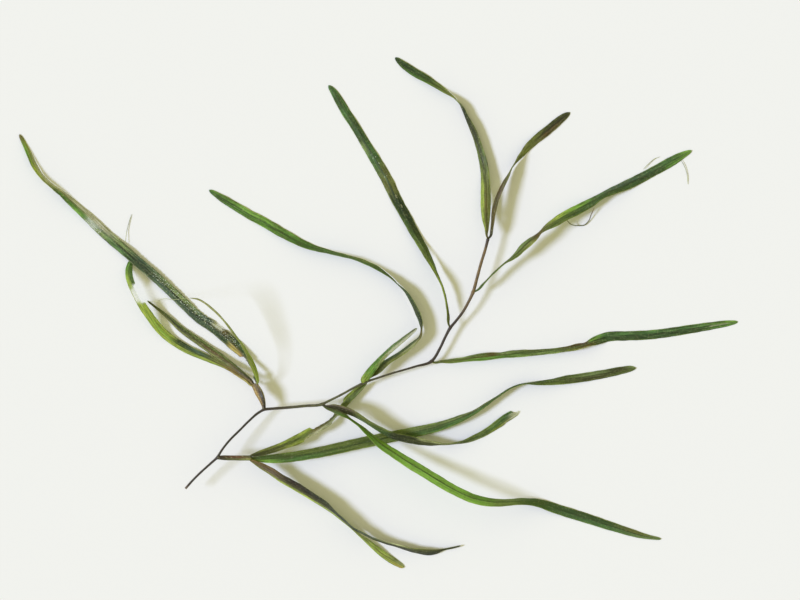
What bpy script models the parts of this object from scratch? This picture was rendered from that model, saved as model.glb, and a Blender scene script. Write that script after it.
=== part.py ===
"""Grass-wrack pondweed: a picked sprig that lies on a flat surface.

A slender stem bends at each of its nodes. Strap-like leaves grow from the nodes, and two
short side shoots carry bunches of leaves. The stem is parted where the side shoots fork
off it. Each leaf, each side shoot's stalk and the stipule is an object of its own.

Lengths are in millimetres until an object is made. Places are measured from the stem's
cut end, x to the right, y towards the sprig's top and z up from the surface.
"""

import math

import bmesh
import bpy
import numpy as np

MM = 0.001

# The middle of the sprig's outline, measured from the stem's cut end
MIDDLE_X = 61.6
MIDDLE_Y = 56.2

BLADE_THICKNESS = 0.4
STALK_THICKNESS = 0.9
STALK_EDGE_ROUNDING = 0.2
STALK_EDGE_ANGLE = math.radians(50)
KEEL_SHARE = 0.07
BLADE_ROW_SPACING = 2.5
STALK_ROW_SPACING = 1.2

STEM_BEVEL_RESOLUTION = 2
FORK_GAP = 0.3

DARK_GREEN = "#33502C"
GREEN = "#3F6B2A"
BRIGHT_GREEN = "#5C9A33"
OLIVE = "#6B7434"
BROWN_OLIVE = "#5A4A28"
STEM_BROWN = "#463A30"
SHOOT_BROWN = "#6A5233"

BLADE_ROUGHNESS = 0.38
STEM_ROUGHNESS = 0.55

# Each stretch of stem, from its lower end upwards: x, y, z, radius
STEMS = {
    "stem_lower": [
        (0.0, 0.0, 6.4, 0.40),
        (2.6, 2.9, 6.6, 0.40),
        (4.5, 4.8, 6.8, 0.40),
        (7.7, 7.7, 7.1, 0.40),
        (10.2, 9.9, 7.3, 0.44),
    ],
    "stem_middle": [
        (10.2, 9.9, 7.3, 0.42),
        (11.8, 12.5, 7.2, 0.40),
        (14.1, 15.4, 6.9, 0.40),
        (17.3, 18.6, 6.3, 0.40),
        (20.5, 21.8, 5.7, 0.40),
        (23.0, 24.0, 5.2, 0.42),
        (25.1, 25.3, 5.0, 0.46),
    ],
    "stem_upper": [
        (25.1, 25.3, 5.0, 0.48),
        (29.2, 25.6, 5.0, 0.46),
        (33.3, 25.9, 5.0, 0.46),
        (38.4, 26.4, 5.0, 0.46),
        (43.5, 26.9, 5.0, 0.52),
        (45.4, 27.8, 5.0, 0.46),
        (50.2, 30.2, 4.8, 0.44),
        (54.0, 32.3, 4.6, 0.44),
        (57.3, 33.9, 4.5, 0.50),
        (61.1, 35.2, 4.3, 0.44),
        (65.0, 36.5, 4.0, 0.42),
        (68.8, 37.6, 3.7, 0.42),
        (73.6, 39.0, 3.3, 0.44),
        (78.4, 40.5, 3.0, 0.54),
        (81.3, 44.8, 3.2, 0.52),
        (82.9, 48.2, 3.4, 0.52),
        (84.5, 51.2, 3.6, 0.56),
        (86.3, 53.4, 3.8, 0.50),
        (88.6, 56.4, 4.1, 0.50),
        (90.4, 59.6, 4.4, 0.50),
        (91.8, 62.6, 4.6, 0.56),
        (93.1, 67.2, 4.7, 0.52),
        (94.4, 72.0, 4.8, 0.50),
        (95.7, 76.2, 4.8, 0.50),
        (96.6, 79.7, 4.7, 0.54),
    ],
}

# Each flattened stalk, from its fork outwards: x, y, z, width, roll
STALKS = {
    "side_shoot_lower": [
        (11.4, 9.9, 7.3, 1.4, 0),
        (15.7, 9.8, 7.2, 1.6, 0),
        (20.2, 9.8, 7.1, 1.7, 0),
    ],
    "side_shoot_left": [
        (25.0, 26.3, 5.0, 1.3, 0),
        (24.5, 28.2, 4.8, 2.1, 20),
        (23.4, 30.7, 4.4, 3.1, 34),
        (22.3, 32.7, 4.1, 3.7, 40),
    ],
}

# Each blade, from base to tip: x, y, z, width, roll. The roll is in degrees, and raises
# the blade's right-hand edge as seen from its base.
BLADES = {
    "leaf_top_left": (OLIVE, [
        (96.2, 80.8, 4.8, 0.7, 0),
        (96.2, 82.9, 4.4, 1.3, 0),
        (96.0, 85.4, 3.9, 2.3, 0),
        (95.9, 89.6, 3.5, 3.2, 5),
        (95.9, 93.8, 3.1, 3.3, 14),
        (95.8, 98.6, 2.3, 3.3, 28),
        (95.3, 103.4, 1.6, 3.3, 38),
        (94.1, 108.2, 1.4, 3.2, 45),
        (92.3, 113.6, 1.4, 3.1, 52),
        (89.9, 118.7, 1.4, 2.8, 61),
        (88.0, 122.6, 1.4, 2.5, 78),
        (86.0, 124.8, 1.4, 2.4, 101),
        (83.2, 126.8, 1.4, 2.7, 122),
        (80.0, 129.0, 1.2, 2.8, 138),
        (76.2, 131.3, 0.9, 2.8, 158),
        (72.0, 133.8, 0.6, 2.7, 172),
        (69.1, 135.9, 0.4, 2.1, 180),
        (66.9, 137.8, 0.3, 0.6, 180),
    ]),
    "leaf_top_right": (BROWN_OLIVE, [
        (97.4, 80.6, 4.7, 0.9, 30),
        (97.8, 82.6, 4.7, 1.7, 56),
        (98.1, 85.1, 4.7, 2.2, 60),
        (98.4, 88.2, 4.7, 2.5, 57),
        (99.4, 92.0, 4.5, 2.6, 56),
        (100.5, 94.9, 4.1, 2.7, 56),
        (101.7, 97.4, 3.6, 2.8, 63),
        (103.0, 99.8, 3.0, 2.9, 74),
        (104.3, 102.2, 2.5, 2.9, 88),
        (105.6, 104.3, 2.1, 2.8, 104),
        (107.3, 106.6, 1.7, 2.7, 126),
        (109.3, 109.0, 1.2, 2.7, 148),
        (112.3, 111.8, 0.7, 2.8, 168),
        (115.7, 114.5, 0.4, 2.8, 180),
        (118.9, 117.2, 0.3, 2.6, 180),
        (121.3, 119.1, 0.3, 2.0, 180),
        (122.9, 120.2, 0.3, 0.7, 180),
    ]),
    "leaf_upper_right": (GREEN, [
        (93.3, 63.4, 4.8, 0.7, 20),
        (95.4, 65.6, 5.1, 1.6, 66),
        (99.5, 69.8, 5.4, 2.1, 76),
        (101.8, 71.8, 5.6, 2.3, 74),
        (104.0, 73.3, 5.7, 2.5, 64),
        (105.9, 74.9, 5.8, 2.8, 50),
        (107.5, 76.6, 5.9, 3.0, 40),
        (110.1, 78.9, 6.0, 3.1, 42),
        (112.0, 80.4, 6.0, 3.2, 60),
        (113.4, 81.8, 5.9, 3.2, 74),
        (114.9, 83.0, 5.7, 3.2, 58),
        (117.4, 84.6, 5.2, 3.3, 36),
        (120.6, 86.7, 4.5, 3.3, 22),
        (124.8, 88.8, 3.6, 3.3, 12),
        (129.3, 91.2, 2.7, 3.3, 28),
        (133.8, 93.9, 1.9, 3.2, 50),
        (137.3, 95.4, 1.4, 3.1, 32),
        (142.1, 97.5, 0.7, 3.2, 10),
        (146.9, 99.9, 0.3, 3.1, 0),
        (151.7, 102.5, 0.3, 3.1, 0),
        (155.8, 104.8, 0.3, 3.0, 0),
        (159.0, 106.6, 0.3, 2.2, 0),
        (161.8, 108.0, 0.3, 0.7, 0),
    ]),
    "leaf_upper_straight": (GREEN, [
        (84.0, 52.7, 3.8, 0.7, 0),
        (83.9, 55.0, 3.9, 1.4, -50),
        (83.5, 58.2, 3.9, 2.0, -66),
        (83.0, 61.1, 3.9, 2.3, -74),
        (82.2, 64.0, 3.8, 2.6, -76),
        (81.0, 66.7, 3.5, 2.8, -74),
        (79.0, 71.0, 2.8, 3.0, -57),
        (76.4, 76.0, 1.9, 3.1, -36),
        (73.4, 81.3, 1.1, 3.2, -22),
        (70.4, 86.9, 0.6, 3.4, -12),
        (67.3, 92.5, 0.3, 3.5, -6),
        (64.2, 98.9, 0.3, 3.6, 0),
        (60.9, 104.6, 0.3, 3.4, 0),
        (58.1, 109.2, 0.3, 3.1, 0),
        (54.2, 115.7, 0.3, 2.9, 0),
        (51.0, 120.6, 0.3, 2.9, 0),
        (48.6, 124.7, 0.3, 2.6, 0),
        (46.9, 127.3, 0.3, 1.9, 0),
        (45.6, 128.9, 0.3, 0.6, 0),
    ]),
    "leaf_middle_right": (GREEN, [
        (79.8, 40.2, 2.8, 0.7, 0),
        (81.6, 40.5, 2.6, 0.9, 0),
        (84.2, 40.6, 2.4, 1.4, 10),
        (87.7, 41.0, 2.1, 1.9, 35),
        (90.9, 41.5, 1.9, 2.3, 35),
        (94.1, 41.9, 1.7, 2.6, 25),
        (97.3, 42.2, 1.6, 2.7, 30),
        (100.5, 42.5, 1.5, 2.7, 44),
        (104.3, 42.9, 1.4, 2.7, 32),
        (109.4, 43.2, 1.3, 2.7, 38),
        (115.2, 43.7, 1.3, 2.7, 48),
        (120.6, 44.3, 1.3, 2.8, 54),
        (125.1, 45.2, 1.4, 2.9, 44),
        (128.3, 46.1, 1.5, 3.0, 57),
        (130.9, 47.1, 1.0, 3.1, 25),
        (135.0, 48.4, 0.2, 3.1, 0),
        (140.8, 48.7, 0.2, 3.0, 0),
        (147.8, 49.0, 0.2, 3.0, 0),
        (154.6, 49.8, 0.2, 2.9, 0),
        (161.6, 50.9, 0.2, 2.8, 0),
        (168.6, 52.0, 0.2, 2.4, 0),
        (173.8, 52.8, 0.2, 1.8, 0),
        (176.6, 53.2, 0.2, 0.7, 0),
    ]),
    "leaf_s_curved": (GREEN, [
        (59.5, 35.9, 4.5, 0.8, 10),
        (60.4, 36.8, 4.4, 1.9, 20),
        (61.9, 38.3, 4.3, 2.8, 28),
        (64.5, 40.5, 4.1, 3.0, 50),
        (67.4, 42.2, 3.8, 3.1, 55),
        (70.4, 44.3, 3.5, 3.1, 57),
        (73.1, 46.5, 3.2, 3.1, 64),
        (74.9, 48.4, 2.9, 3.1, 72),
        (75.4, 50.6, 2.6, 3.1, 80),
        (75.2, 52.8, 2.4, 3.1, 66),
        (74.1, 56.2, 2.3, 3.1, 60),
        (72.6, 59.3, 2.3, 3.1, 64),
        (70.6, 62.4, 2.3, 3.1, 74),
        (67.6, 65.6, 2.0, 3.1, 90),
        (64.4, 68.3, 1.8, 3.1, 106),
        (61.2, 70.4, 1.7, 3.1, 116),
        (58.0, 72.0, 1.7, 3.1, 114),
        (54.6, 73.3, 1.6, 3.1, 112),
        (50.2, 74.5, 1.6, 3.1, 111),
        (45.2, 75.7, 1.6, 3.1, 116),
        (40.3, 77.1, 1.4, 3.1, 132),
        (35.2, 79.3, 1.1, 3.1, 150),
        (30.4, 81.9, 0.8, 3.2, 162),
        (25.3, 84.9, 0.6, 3.1, 172),
        (20.5, 87.4, 0.4, 2.9, 180),
        (16.0, 90.1, 0.4, 2.7, 180),
        (11.5, 92.8, 0.4, 2.3, 180),
        (7.4, 95.4, 0.3, 0.7, 180),
    ]),
    "leaf_half_decayed": (OLIVE, [
        (20.8, 10.4, 7.3, 0.7, 0),
        (22.5, 10.9, 7.2, 1.4, 0),
        (24.3, 11.4, 7.1, 2.0, 0),
        (26.9, 12.2, 6.7, 2.3, 12),
        (31.7, 13.9, 5.6, 2.8, 25),
        (36.5, 16.0, 4.6, 3.3, 5),
        (39.7, 17.8, 3.9, 3.3, 20),
        (42.9, 19.5, 3.3, 3.2, 40),
        (46.4, 21.8, 2.7, 3.1, 40),
        (48.6, 24.3, 2.3, 3.0, 34),
        (50.6, 27.0, 2.1, 3.0, 36),
        (52.8, 29.3, 2.1, 2.9, 30),
        (55.0, 31.4, 2.4, 2.2, 20),
        (56.6, 32.7, 2.7, 1.4, 10),
        (58.1, 33.9, 2.9, 0.6, 0),
    ]),
    "leaf_short_wavy": (GREEN, [
        (45.0, 26.3, 5.6, 0.8, 0),
        (47.4, 26.1, 6.0, 1.9, -20),
        (50.9, 25.1, 6.1, 2.7, -38),
        (54.1, 23.8, 5.9, 3.0, -50),
        (57.9, 21.4, 5.5, 3.1, -60),
        (63.4, 18.2, 5.0, 3.1, -52),
        (67.2, 16.6, 4.8, 3.2, -42),
        (70.7, 15.8, 4.4, 3.2, -38),
        (74.6, 15.0, 3.8, 3.2, -44),
        (78.7, 14.4, 2.9, 3.2, -60),
        (82.6, 14.1, 2.2, 3.2, -78),
        (86.1, 14.4, 2.0, 3.1, -78),
        (89.1, 15.0, 1.8, 3.0, -64),
        (91.8, 16.0, 1.5, 2.9, -52),
        (95.0, 17.4, 1.2, 2.8, -40),
        (97.6, 19.0, 1.0, 2.8, -32),
        (100.2, 20.8, 0.7, 2.8, -14),
        (102.7, 22.6, 0.4, 2.7, -6),
        (104.6, 23.7, 0.3, 2.4, 0),
        (106.7, 24.6, 0.3, 1.3, 0),
    ]),
    "leaf_longest": (DARK_GREEN, [
        (20.9, 9.7, 6.5, 0.9, 0),
        (22.6, 9.5, 6.5, 1.4, 0),
        (24.6, 9.4, 6.3, 2.1, 0),
        (27.5, 9.5, 6.1, 2.8, 4),
        (31.4, 9.8, 5.8, 3.2, 6),
        (35.5, 10.3, 5.5, 3.3, 8),
        (39.7, 11.0, 5.1, 3.4, 8),
        (44.5, 11.9, 4.6, 3.5, 5),
        (49.9, 13.1, 4.0, 3.6, 0),
        (55.7, 14.4, 3.4, 3.6, 0),
        (62.1, 15.7, 2.8, 3.6, 5),
        (68.5, 17.0, 2.4, 3.5, 10),
        (74.2, 18.2, 2.2, 3.4, 14),
        (80.0, 19.5, 2.1, 3.3, 26),
        (85.1, 21.2, 2.1, 3.2, 36),
        (89.3, 22.9, 2.1, 3.1, 50),
        (93.1, 24.8, 2.0, 3.0, 62),
        (96.6, 27.2, 1.9, 2.9, 70),
        (100.2, 29.6, 1.8, 2.9, 77),
        (103.4, 31.7, 1.7, 2.9, 82),
        (106.6, 33.0, 1.7, 2.9, 82),
        (109.8, 33.5, 1.7, 2.9, 78),
        (112.6, 33.6, 1.5, 2.9, 64),
        (116.5, 33.9, 1.2, 2.8, 46),
        (121.3, 34.6, 0.8, 2.9, 22),
        (127.7, 35.5, 0.4, 2.9, 8),
        (134.1, 36.6, 0.3, 2.7, 0),
        (139.5, 37.7, 0.3, 2.4, 0),
        (142.1, 38.2, 0.3, 1.9, 0),
        (144.0, 38.4, 0.3, 0.7, 0),
    ]),
    "leaf_bright_arched": (BRIGHT_GREEN, [
        (45.2, 25.6, 4.6, 0.8, 0),
        (47.4, 25.1, 4.8, 1.8, 0),
        (49.6, 24.1, 5.0, 2.0, 25),
        (51.8, 22.7, 5.2, 2.4, 66),
        (54.4, 20.9, 5.4, 2.6, 72),
        (57.0, 18.8, 5.5, 2.9, 66),
        (59.2, 16.8, 5.7, 3.0, 56),
        (62.1, 14.2, 5.9, 3.1, 44),
        (66.2, 11.5, 6.3, 3.1, 36),
        (70.7, 8.6, 7.0, 3.2, 28),
        (76.2, 5.3, 8.2, 3.2, 25),
        (81.6, 2.0, 9.4, 3.2, 25),
        (87.0, -1.0, 10.3, 3.2, 28),
        (92.5, -3.3, 10.4, 3.1, 28),
        (97.3, -4.3, 9.4, 3.1, 35),
        (102.4, -4.4, 7.1, 3.1, 45),
        (107.8, -4.2, 4.0, 3.1, 46),
        (111.7, -4.5, 2.2, 3.1, 38),
        (115.5, -5.6, 1.1, 3.2, 22),
        (119.7, -7.0, 0.6, 3.2, 8),
        (124.5, -8.5, 0.3, 3.2, 0),
        (129.3, -10.0, 0.3, 3.1, 0),
        (134.1, -11.6, 0.3, 2.9, 0),
        (138.9, -13.1, 0.3, 2.6, 0),
        (143.7, -14.6, 0.3, 2.2, 0),
        (147.8, -15.6, 0.3, 1.5, 0),
        (152.0, -16.3, 0.3, 0.6, 0),
    ]),
    "leaf_dark_hooked": (DARK_GREEN, [
        (20.8, 9.1, 7.3, 0.7, 0),
        (22.2, 8.4, 7.3, 1.3, 0),
        (24.0, 7.4, 6.9, 1.9, 0),
        (27.2, 5.6, 5.6, 2.4, -12),
        (30.7, 3.2, 4.7, 2.8, -20),
        (34.6, 1.0, 4.4, 3.0, -22),
        (38.4, -1.3, 4.2, 3.0, -28),
        (41.9, -3.5, 4.1, 3.0, -35),
        (44.8, -5.4, 3.9, 3.0, -46),
        (47.7, -7.7, 3.7, 3.0, -66),
        (50.9, -10.4, 3.7, 3.0, -76),
        (53.4, -12.6, 3.6, 3.0, -76),
        (56.3, -14.2, 3.3, 3.0, -76),
        (59.2, -15.7, 2.8, 3.0, -76),
        (62.7, -17.0, 2.3, 3.0, -72),
        (66.9, -18.2, 1.9, 3.0, -68),
        (71.0, -19.4, 1.7, 2.9, -60),
        (75.2, -20.2, 1.6, 2.8, -48),
        (78.4, -20.5, 1.5, 2.5, -40),
        (80.6, -20.2, 1.4, 1.8, -40),
        (82.2, -19.7, 1.3, 1.0, -40),
        (85.1, -19.1, 1.2, 0.7, -30),
        (88.0, -18.4, 1.1, 0.5, 0),
    ]),
    "leaf_olive_lower": (OLIVE, [
        (22.0, 8.5, 5.2, 0.7, 0),
        (27.2, 5.4, 4.1, 1.7, 0),
        (34.6, 0.7, 2.9, 2.0, -10),
        (41.9, -4.0, 1.9, 2.0, -26),
        (47.7, -8.2, 1.3, 1.6, -48),
        (51.2, -11.1, 1.1, 1.6, -58),
        (53.8, -13.4, 1.0, 1.6, -60),
        (55.7, -15.0, 1.0, 1.8, -56),
        (58.3, -17.2, 0.9, 2.0, -42),
        (61.0, -19.5, 0.7, 2.2, -26),
        (64.0, -21.8, 0.5, 2.3, -10),
        (66.7, -23.5, 0.3, 2.2, 0),
        (68.5, -24.6, 0.3, 1.8, 0),
        (69.8, -25.4, 0.3, 0.9, 0),
    ]),
    "leaf_far_left": (DARK_GREEN, [
        (22.8, 33.7, 4.4, 0.8, 20),
        (22.5, 34.9, 4.1, 1.3, 28),
        (21.8, 37.4, 3.1, 2.3, 24),
        (20.2, 40.3, 1.9, 2.5, 14),
        (18.4, 42.9, 1.2, 2.9, 6),
        (16.0, 45.4, 0.8, 3.8, 0),
        (12.8, 48.3, 0.6, 3.8, 0),
        (9.0, 51.4, 0.5, 3.7, 0),
        (4.5, 54.4, 0.5, 3.6, 0),
        (-0.3, 58.8, 0.7, 3.5, 0),
        (-5.1, 63.4, 1.0, 3.4, 0),
        (-9.9, 67.8, 1.1, 3.4, 0),
        (-14.7, 71.9, 1.2, 3.4, 0),
        (-18.9, 75.5, 1.2, 3.3, 0),
        (-23.2, 79.1, 0.7, 3.3, 0),
        (-27.3, 82.8, 0.6, 3.3, 0),
        (-30.5, 85.9, 0.8, 3.2, -10),
        (-33.7, 88.9, 1.0, 3.1, -22),
        (-36.9, 91.8, 1.2, 3.1, -36),
        (-40.1, 94.6, 1.4, 3.0, -50),
        (-43.3, 97.1, 1.5, 2.9, -60),
        (-45.9, 99.5, 1.4, 2.8, -56),
        (-48.0, 102.4, 1.3, 2.6, -48),
        (-49.7, 105.9, 1.0, 2.3, -40),
        (-51.3, 109.4, 0.7, 1.8, -32),
        (-53.3, 113.2, 0.3, 0.6, 0),
    ]),
    "leaf_curled_left": (BRIGHT_GREEN, [
        (21.1, 32.9, 3.4, 0.8, 0),
        (19.5, 34.4, 2.9, 1.1, 0),
        (17.3, 35.9, 2.1, 1.3, 10),
        (14.1, 38.1, 1.2, 1.5, 25),
        (10.9, 39.7, 0.6, 1.8, 25),
        (7.7, 41.2, 0.5, 2.2, 14),
        (4.5, 42.6, 0.5, 2.5, 14),
        (1.3, 44.0, 0.5, 2.7, 10),
        (-1.9, 45.8, 0.5, 2.8, 8),
        (-4.8, 47.7, 0.8, 2.8, 8),
        (-7.6, 50.1, 1.6, 2.8, 8),
        (-10.0, 53.0, 2.7, 2.8, 8),
        (-12.1, 55.9, 3.7, 2.7, 8),
        (-14.2, 59.1, 4.4, 2.6, 10),
        (-15.8, 62.2, 4.7, 2.6, 15),
        (-17.2, 65.1, 4.5, 2.5, 15),
        (-18.1, 68.2, 3.1, 2.4, 8),
        (-18.1, 70.7, 1.2, 2.1, 4),
        (-17.6, 72.3, 0.35, 1.5, 0),
        (-16.7, 73.1, 0.3, 1.1, 0),
        (-15.4, 72.8, 0.3, 1.2, 0),
        (-13.4, 71.4, 0.3, 1.8, 0),
        (-10.9, 69.1, 0.3, 2.1, 0),
        (-8.3, 66.6, 0.3, 1.9, 0),
        (-5.8, 64.1, 0.3, 0.6, 0),
    ]),
    "leaf_narrow_left": (BROWN_OLIVE, [
        (21.8, 33.2, 4.4, 0.7, 0),
        (21.0, 34.3, 4.1, 1.0, 0),
        (19.2, 35.8, 3.4, 1.3, 0),
        (17.0, 37.6, 2.7, 1.6, 5),
        (14.1, 39.8, 1.9, 1.9, 5),
        (10.9, 42.1, 1.3, 2.2, 5),
        (7.7, 44.3, 0.9, 2.3, 5),
        (4.5, 46.6, 0.7, 2.3, 5),
        (1.3, 48.8, 0.6, 2.2, 5),
        (-1.9, 51.2, 0.5, 2.0, 8),
        (-4.5, 53.6, 0.6, 1.6, 10),
        (-6.7, 55.5, 1.0, 1.2, 10),
        (-9.0, 57.4, 1.7, 0.9, 10),
        (-10.9, 58.9, 2.5, 0.7, 5),
        (-12.3, 60.0, 3.2, 0.5, 0),
    ]),
    "leaf_arched_left": (OLIVE, [
        (23.1, 34.2, 6.0, 0.8, 0),
        (22.9, 35.4, 6.8, 1.1, -10),
        (22.3, 37.4, 7.8, 1.7, -25),
        (21.0, 40.6, 8.9, 2.0, -35),
        (19.5, 43.7, 9.9, 2.0, -56),
        (18.0, 46.1, 10.6, 2.0, -68),
        (16.2, 48.6, 11.4, 2.0, -72),
        (13.6, 52.2, 12.5, 2.0, -72),
        (11.2, 55.0, 13.5, 2.0, -72),
        (8.7, 57.4, 14.5, 1.9, -72),
        (6.5, 59.2, 15.4, 1.8, -72),
        (4.3, 60.4, 16.1, 1.5, -70),
        (1.7, 60.8, 16.6, 0.6, -66),
    ]),
    "stipule": (BRIGHT_GREEN, [
        (57.0, 34.6, 5.8, 2.2, 0),
        (58.2, 36.2, 5.8, 2.6, 0),
        (59.6, 38.0, 5.7, 2.5, 0),
        (61.6, 40.4, 5.6, 2.1, 5),
        (63.8, 42.7, 5.5, 1.8, 5),
        (66.2, 44.9, 5.3, 1.8, 5),
        (68.8, 47.0, 5.1, 1.6, 5),
        (71.4, 49.1, 4.9, 1.3, 0),
        (74.0, 51.2, 4.7, 0.7, 0),
    ]),
}

# This blade lies flat on the surface, and the sprig's mount is on it, so it has no raised midrib.
FLAT_BLADE = "leaf_middle_right"


def clear_scene():
    """Removes the objects that a new file starts with."""
    for thing in list(bpy.data.objects):
        bpy.data.objects.remove(thing, do_unlink=True)


def linear_colour(code):
    """A hex sRGB colour as linear red, green, blue and alpha."""
    shades = [int(code[i : i + 2], 16) / 255 for i in (1, 3, 5)]
    linear = [shade / 12.92 if shade <= 0.04045 else ((shade + 0.055) / 1.055) ** 2.4 for shade in shades]
    return [*linear, 1.0]


def plain_material(name, code, roughness):
    """A Principled material of one colour."""
    material = bpy.data.materials.new(name)
    material.use_nodes = True
    shader = material.node_tree.nodes["Principled BSDF"]
    shader.inputs["Base Color"].default_value = linear_colour(code)
    shader.inputs["Roughness"].default_value = roughness
    return material


def smooth_rows(stations, spacing):
    """Evenly spaced rows read from a smooth curve through the stations."""
    given = np.array(stations, float)
    steps = np.linalg.norm(np.diff(given[:, :3], axis=0), axis=1)
    along = np.concatenate([[0.0], np.cumsum(steps)])
    slopes = np.gradient(given, along, axis=0)
    at = np.linspace(0.0, along[-1], round(along[-1] / spacing) + 1)
    span = np.clip(np.searchsorted(along, at, side="right") - 1, 0, len(along) - 2)
    length = (along[span + 1] - along[span])[:, None]
    share = ((at - along[span]) / length[:, 0])[:, None]
    return (
        given[span] * (1 + 2 * share) * (1 - share) ** 2
        + given[span + 1] * (3 - 2 * share) * share**2
        + slopes[span] * length * share * (1 - share) ** 2
        - slopes[span + 1] * length * (1 - share) * share**2
    )


def strap_frames(rows, thickness, keel):
    """Each row's centre, half width to the right, and upward normal, kept above the surface."""
    centres, widths, rolls = rows[:, :3].copy(), rows[:, 3], np.radians(rows[:, 4])
    turn, rise = np.cos(rolls), np.sin(rolls)
    reach = widths / 2 * np.abs(rise) + thickness / 2 * np.abs(turn) + keel * widths * np.maximum(-turn, 0)
    centres[:, 2] = np.maximum(centres[:, 2], reach)
    tangents = np.gradient(centres, axis=0)
    tangents /= np.linalg.norm(tangents, axis=1)[:, None]
    right = np.cross(tangents, (0.0, 0.0, 1.0))
    right /= np.linalg.norm(right, axis=1)[:, None]
    up = np.cross(right, tangents)
    halves = (right * turn[:, None] + up * rise[:, None]) * widths[:, None] / 2
    return centres, halves, up * turn[:, None] - right * rise[:, None]


def lay_grid(mesh, centres, halves, normals, keel):
    """Fills the mesh with a grid two faces wide, with its edges and its midrib set along the route."""
    grid = bmesh.new()
    last = len(centres) - 1
    bmesh.ops.create_grid(grid, x_segments=last, y_segments=2, size=1.0)
    for vert in grid.verts:
        row = round((vert.co.x + 1) / 2 * last)
        side = -round(vert.co.y)
        raised = keel * 2 * np.linalg.norm(halves[row]) * (1 - abs(side))
        vert.co = (centres[row] + side * halves[row] + raised * normals[row]) * MM
    grid.to_mesh(mesh)
    grid.free()
    mesh.shade_smooth()


def strap(name, stations, spacing, thickness, keel):
    """A long flat piece: a grid laid along its route, given its thickness by Solidify."""
    centres, halves, normals = strap_frames(smooth_rows(stations, spacing), thickness, keel)
    mesh = bpy.data.meshes.new(name)
    lay_grid(mesh, centres, halves, normals, keel)
    piece = bpy.data.objects.new(name, mesh)
    shell = piece.modifiers.new("Thickness", "SOLIDIFY")
    shell.thickness = thickness * MM
    shell.offset = 0.0
    return piece


def leaf_blade(name, stations):
    """A leaf or a stipule: a thin strap with its midrib a little proud."""
    keel = 0.0 if name == FLAT_BLADE else KEEL_SHARE
    return strap(name, stations, BLADE_ROW_SPACING, BLADE_THICKNESS, keel)


def flat_stalk(name, stations):
    """A side shoot's stalk: a thicker strap with its sharp edges taken off."""
    piece = strap(name, stations, STALK_ROW_SPACING, STALK_THICKNESS, 0.0)
    edge = piece.modifiers.new("Rounding", "BEVEL")
    edge.width = STALK_EDGE_ROUNDING * MM
    edge.segments = 1
    edge.limit_method = "ANGLE"
    edge.angle_limit = STALK_EDGE_ANGLE
    return piece


def drawn_in(points, gap):
    """The route with both ends drawn in by the gap, so that neighbours don't touch."""
    route = np.array(points, float)
    for end, neighbour in ((0, 1), (-1, -2)):
        inward = route[neighbour, :3] - route[end, :3]
        route[end, :3] += inward / np.linalg.norm(inward) * gap
    return route


def stem_tube(name, points):
    """A stretch of stem: a round tube with closed ends, a little thicker at its nodes."""
    curve = bpy.data.curves.new(name, "CURVE")
    curve.dimensions = "3D"
    curve.bevel_depth = MM
    curve.bevel_resolution = STEM_BEVEL_RESOLUTION
    curve.use_fill_caps = True
    spline = curve.splines.new("POLY")
    spline.points.add(len(points) - 1)
    for point, (x, y, z, radius) in zip(spline.points, drawn_in(points, FORK_GAP)):
        point.co = (x * MM, y * MM, z * MM, 1.0)
        point.radius = radius
    return bpy.data.objects.new(name, curve)


def build_sprig():
    """Makes every piece of the sprig in a collection of its own, round the middle of its outline."""
    clear_scene()
    collection = bpy.data.collections.new("grass_wrack_pondweed")
    bpy.context.scene.collection.children.link(collection)
    origin = bpy.data.objects.new("sprig_origin", None)
    origin.location = (-MIDDLE_X * MM, -MIDDLE_Y * MM, 0.0)
    collection.objects.link(origin)

    made = [(stem_tube(name, points), STEM_BROWN, STEM_ROUGHNESS) for name, points in STEMS.items()]
    made += [(flat_stalk(name, stations), SHOOT_BROWN, STEM_ROUGHNESS) for name, stations in STALKS.items()]
    for name, (colour, stations) in BLADES.items():
        made.append((leaf_blade(name, stations), colour, BLADE_ROUGHNESS))
    for piece, colour, roughness in made:
        piece.data.materials.append(plain_material(piece.name, colour, roughness))
        piece.parent = origin
        collection.objects.link(piece)


build_sprig()
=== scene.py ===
"""Grass-wrack pondweed: the picked sprig with its finishes, lying on a pale surface in soft light.

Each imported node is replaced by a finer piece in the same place: a stem with ridges and
swollen nodes, thin leaf blades with a raised midrib, wavy margins, tears and holes, and a
clear sheath. Fine threads and grains of lime cling to a few leaves.

Lengths are in millimetres until a mesh is made. Places are measured from the stem's cut
end, x to the right, y towards the sprig's top and z up from the surface, as in the solids.
"""

import logging
import math
from dataclasses import dataclass, field
from enum import Enum
from typing import Any, Mapping, Sequence

import bmesh
import bpy
import numpy as np
from mathutils import Matrix, Vector


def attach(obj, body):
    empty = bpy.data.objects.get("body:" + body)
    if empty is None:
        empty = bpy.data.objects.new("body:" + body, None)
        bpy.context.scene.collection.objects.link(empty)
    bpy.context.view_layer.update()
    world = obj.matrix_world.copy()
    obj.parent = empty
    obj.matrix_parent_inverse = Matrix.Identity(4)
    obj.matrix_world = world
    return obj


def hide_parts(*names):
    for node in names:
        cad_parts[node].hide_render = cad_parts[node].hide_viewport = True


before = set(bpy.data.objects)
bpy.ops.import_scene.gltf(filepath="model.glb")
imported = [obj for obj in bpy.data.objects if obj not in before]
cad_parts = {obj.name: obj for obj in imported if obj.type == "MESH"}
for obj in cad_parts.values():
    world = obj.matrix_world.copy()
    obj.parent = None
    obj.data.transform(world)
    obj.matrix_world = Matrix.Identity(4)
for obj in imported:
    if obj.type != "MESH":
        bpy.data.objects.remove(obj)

LOG = logging.getLogger("pondweed")
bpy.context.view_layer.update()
BODY = "root"
MM = 0.001

# The middle of the sprig's outline, measured from the stem's cut end
MIDDLE = np.array([61.6, 56.2, 0.0])

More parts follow.
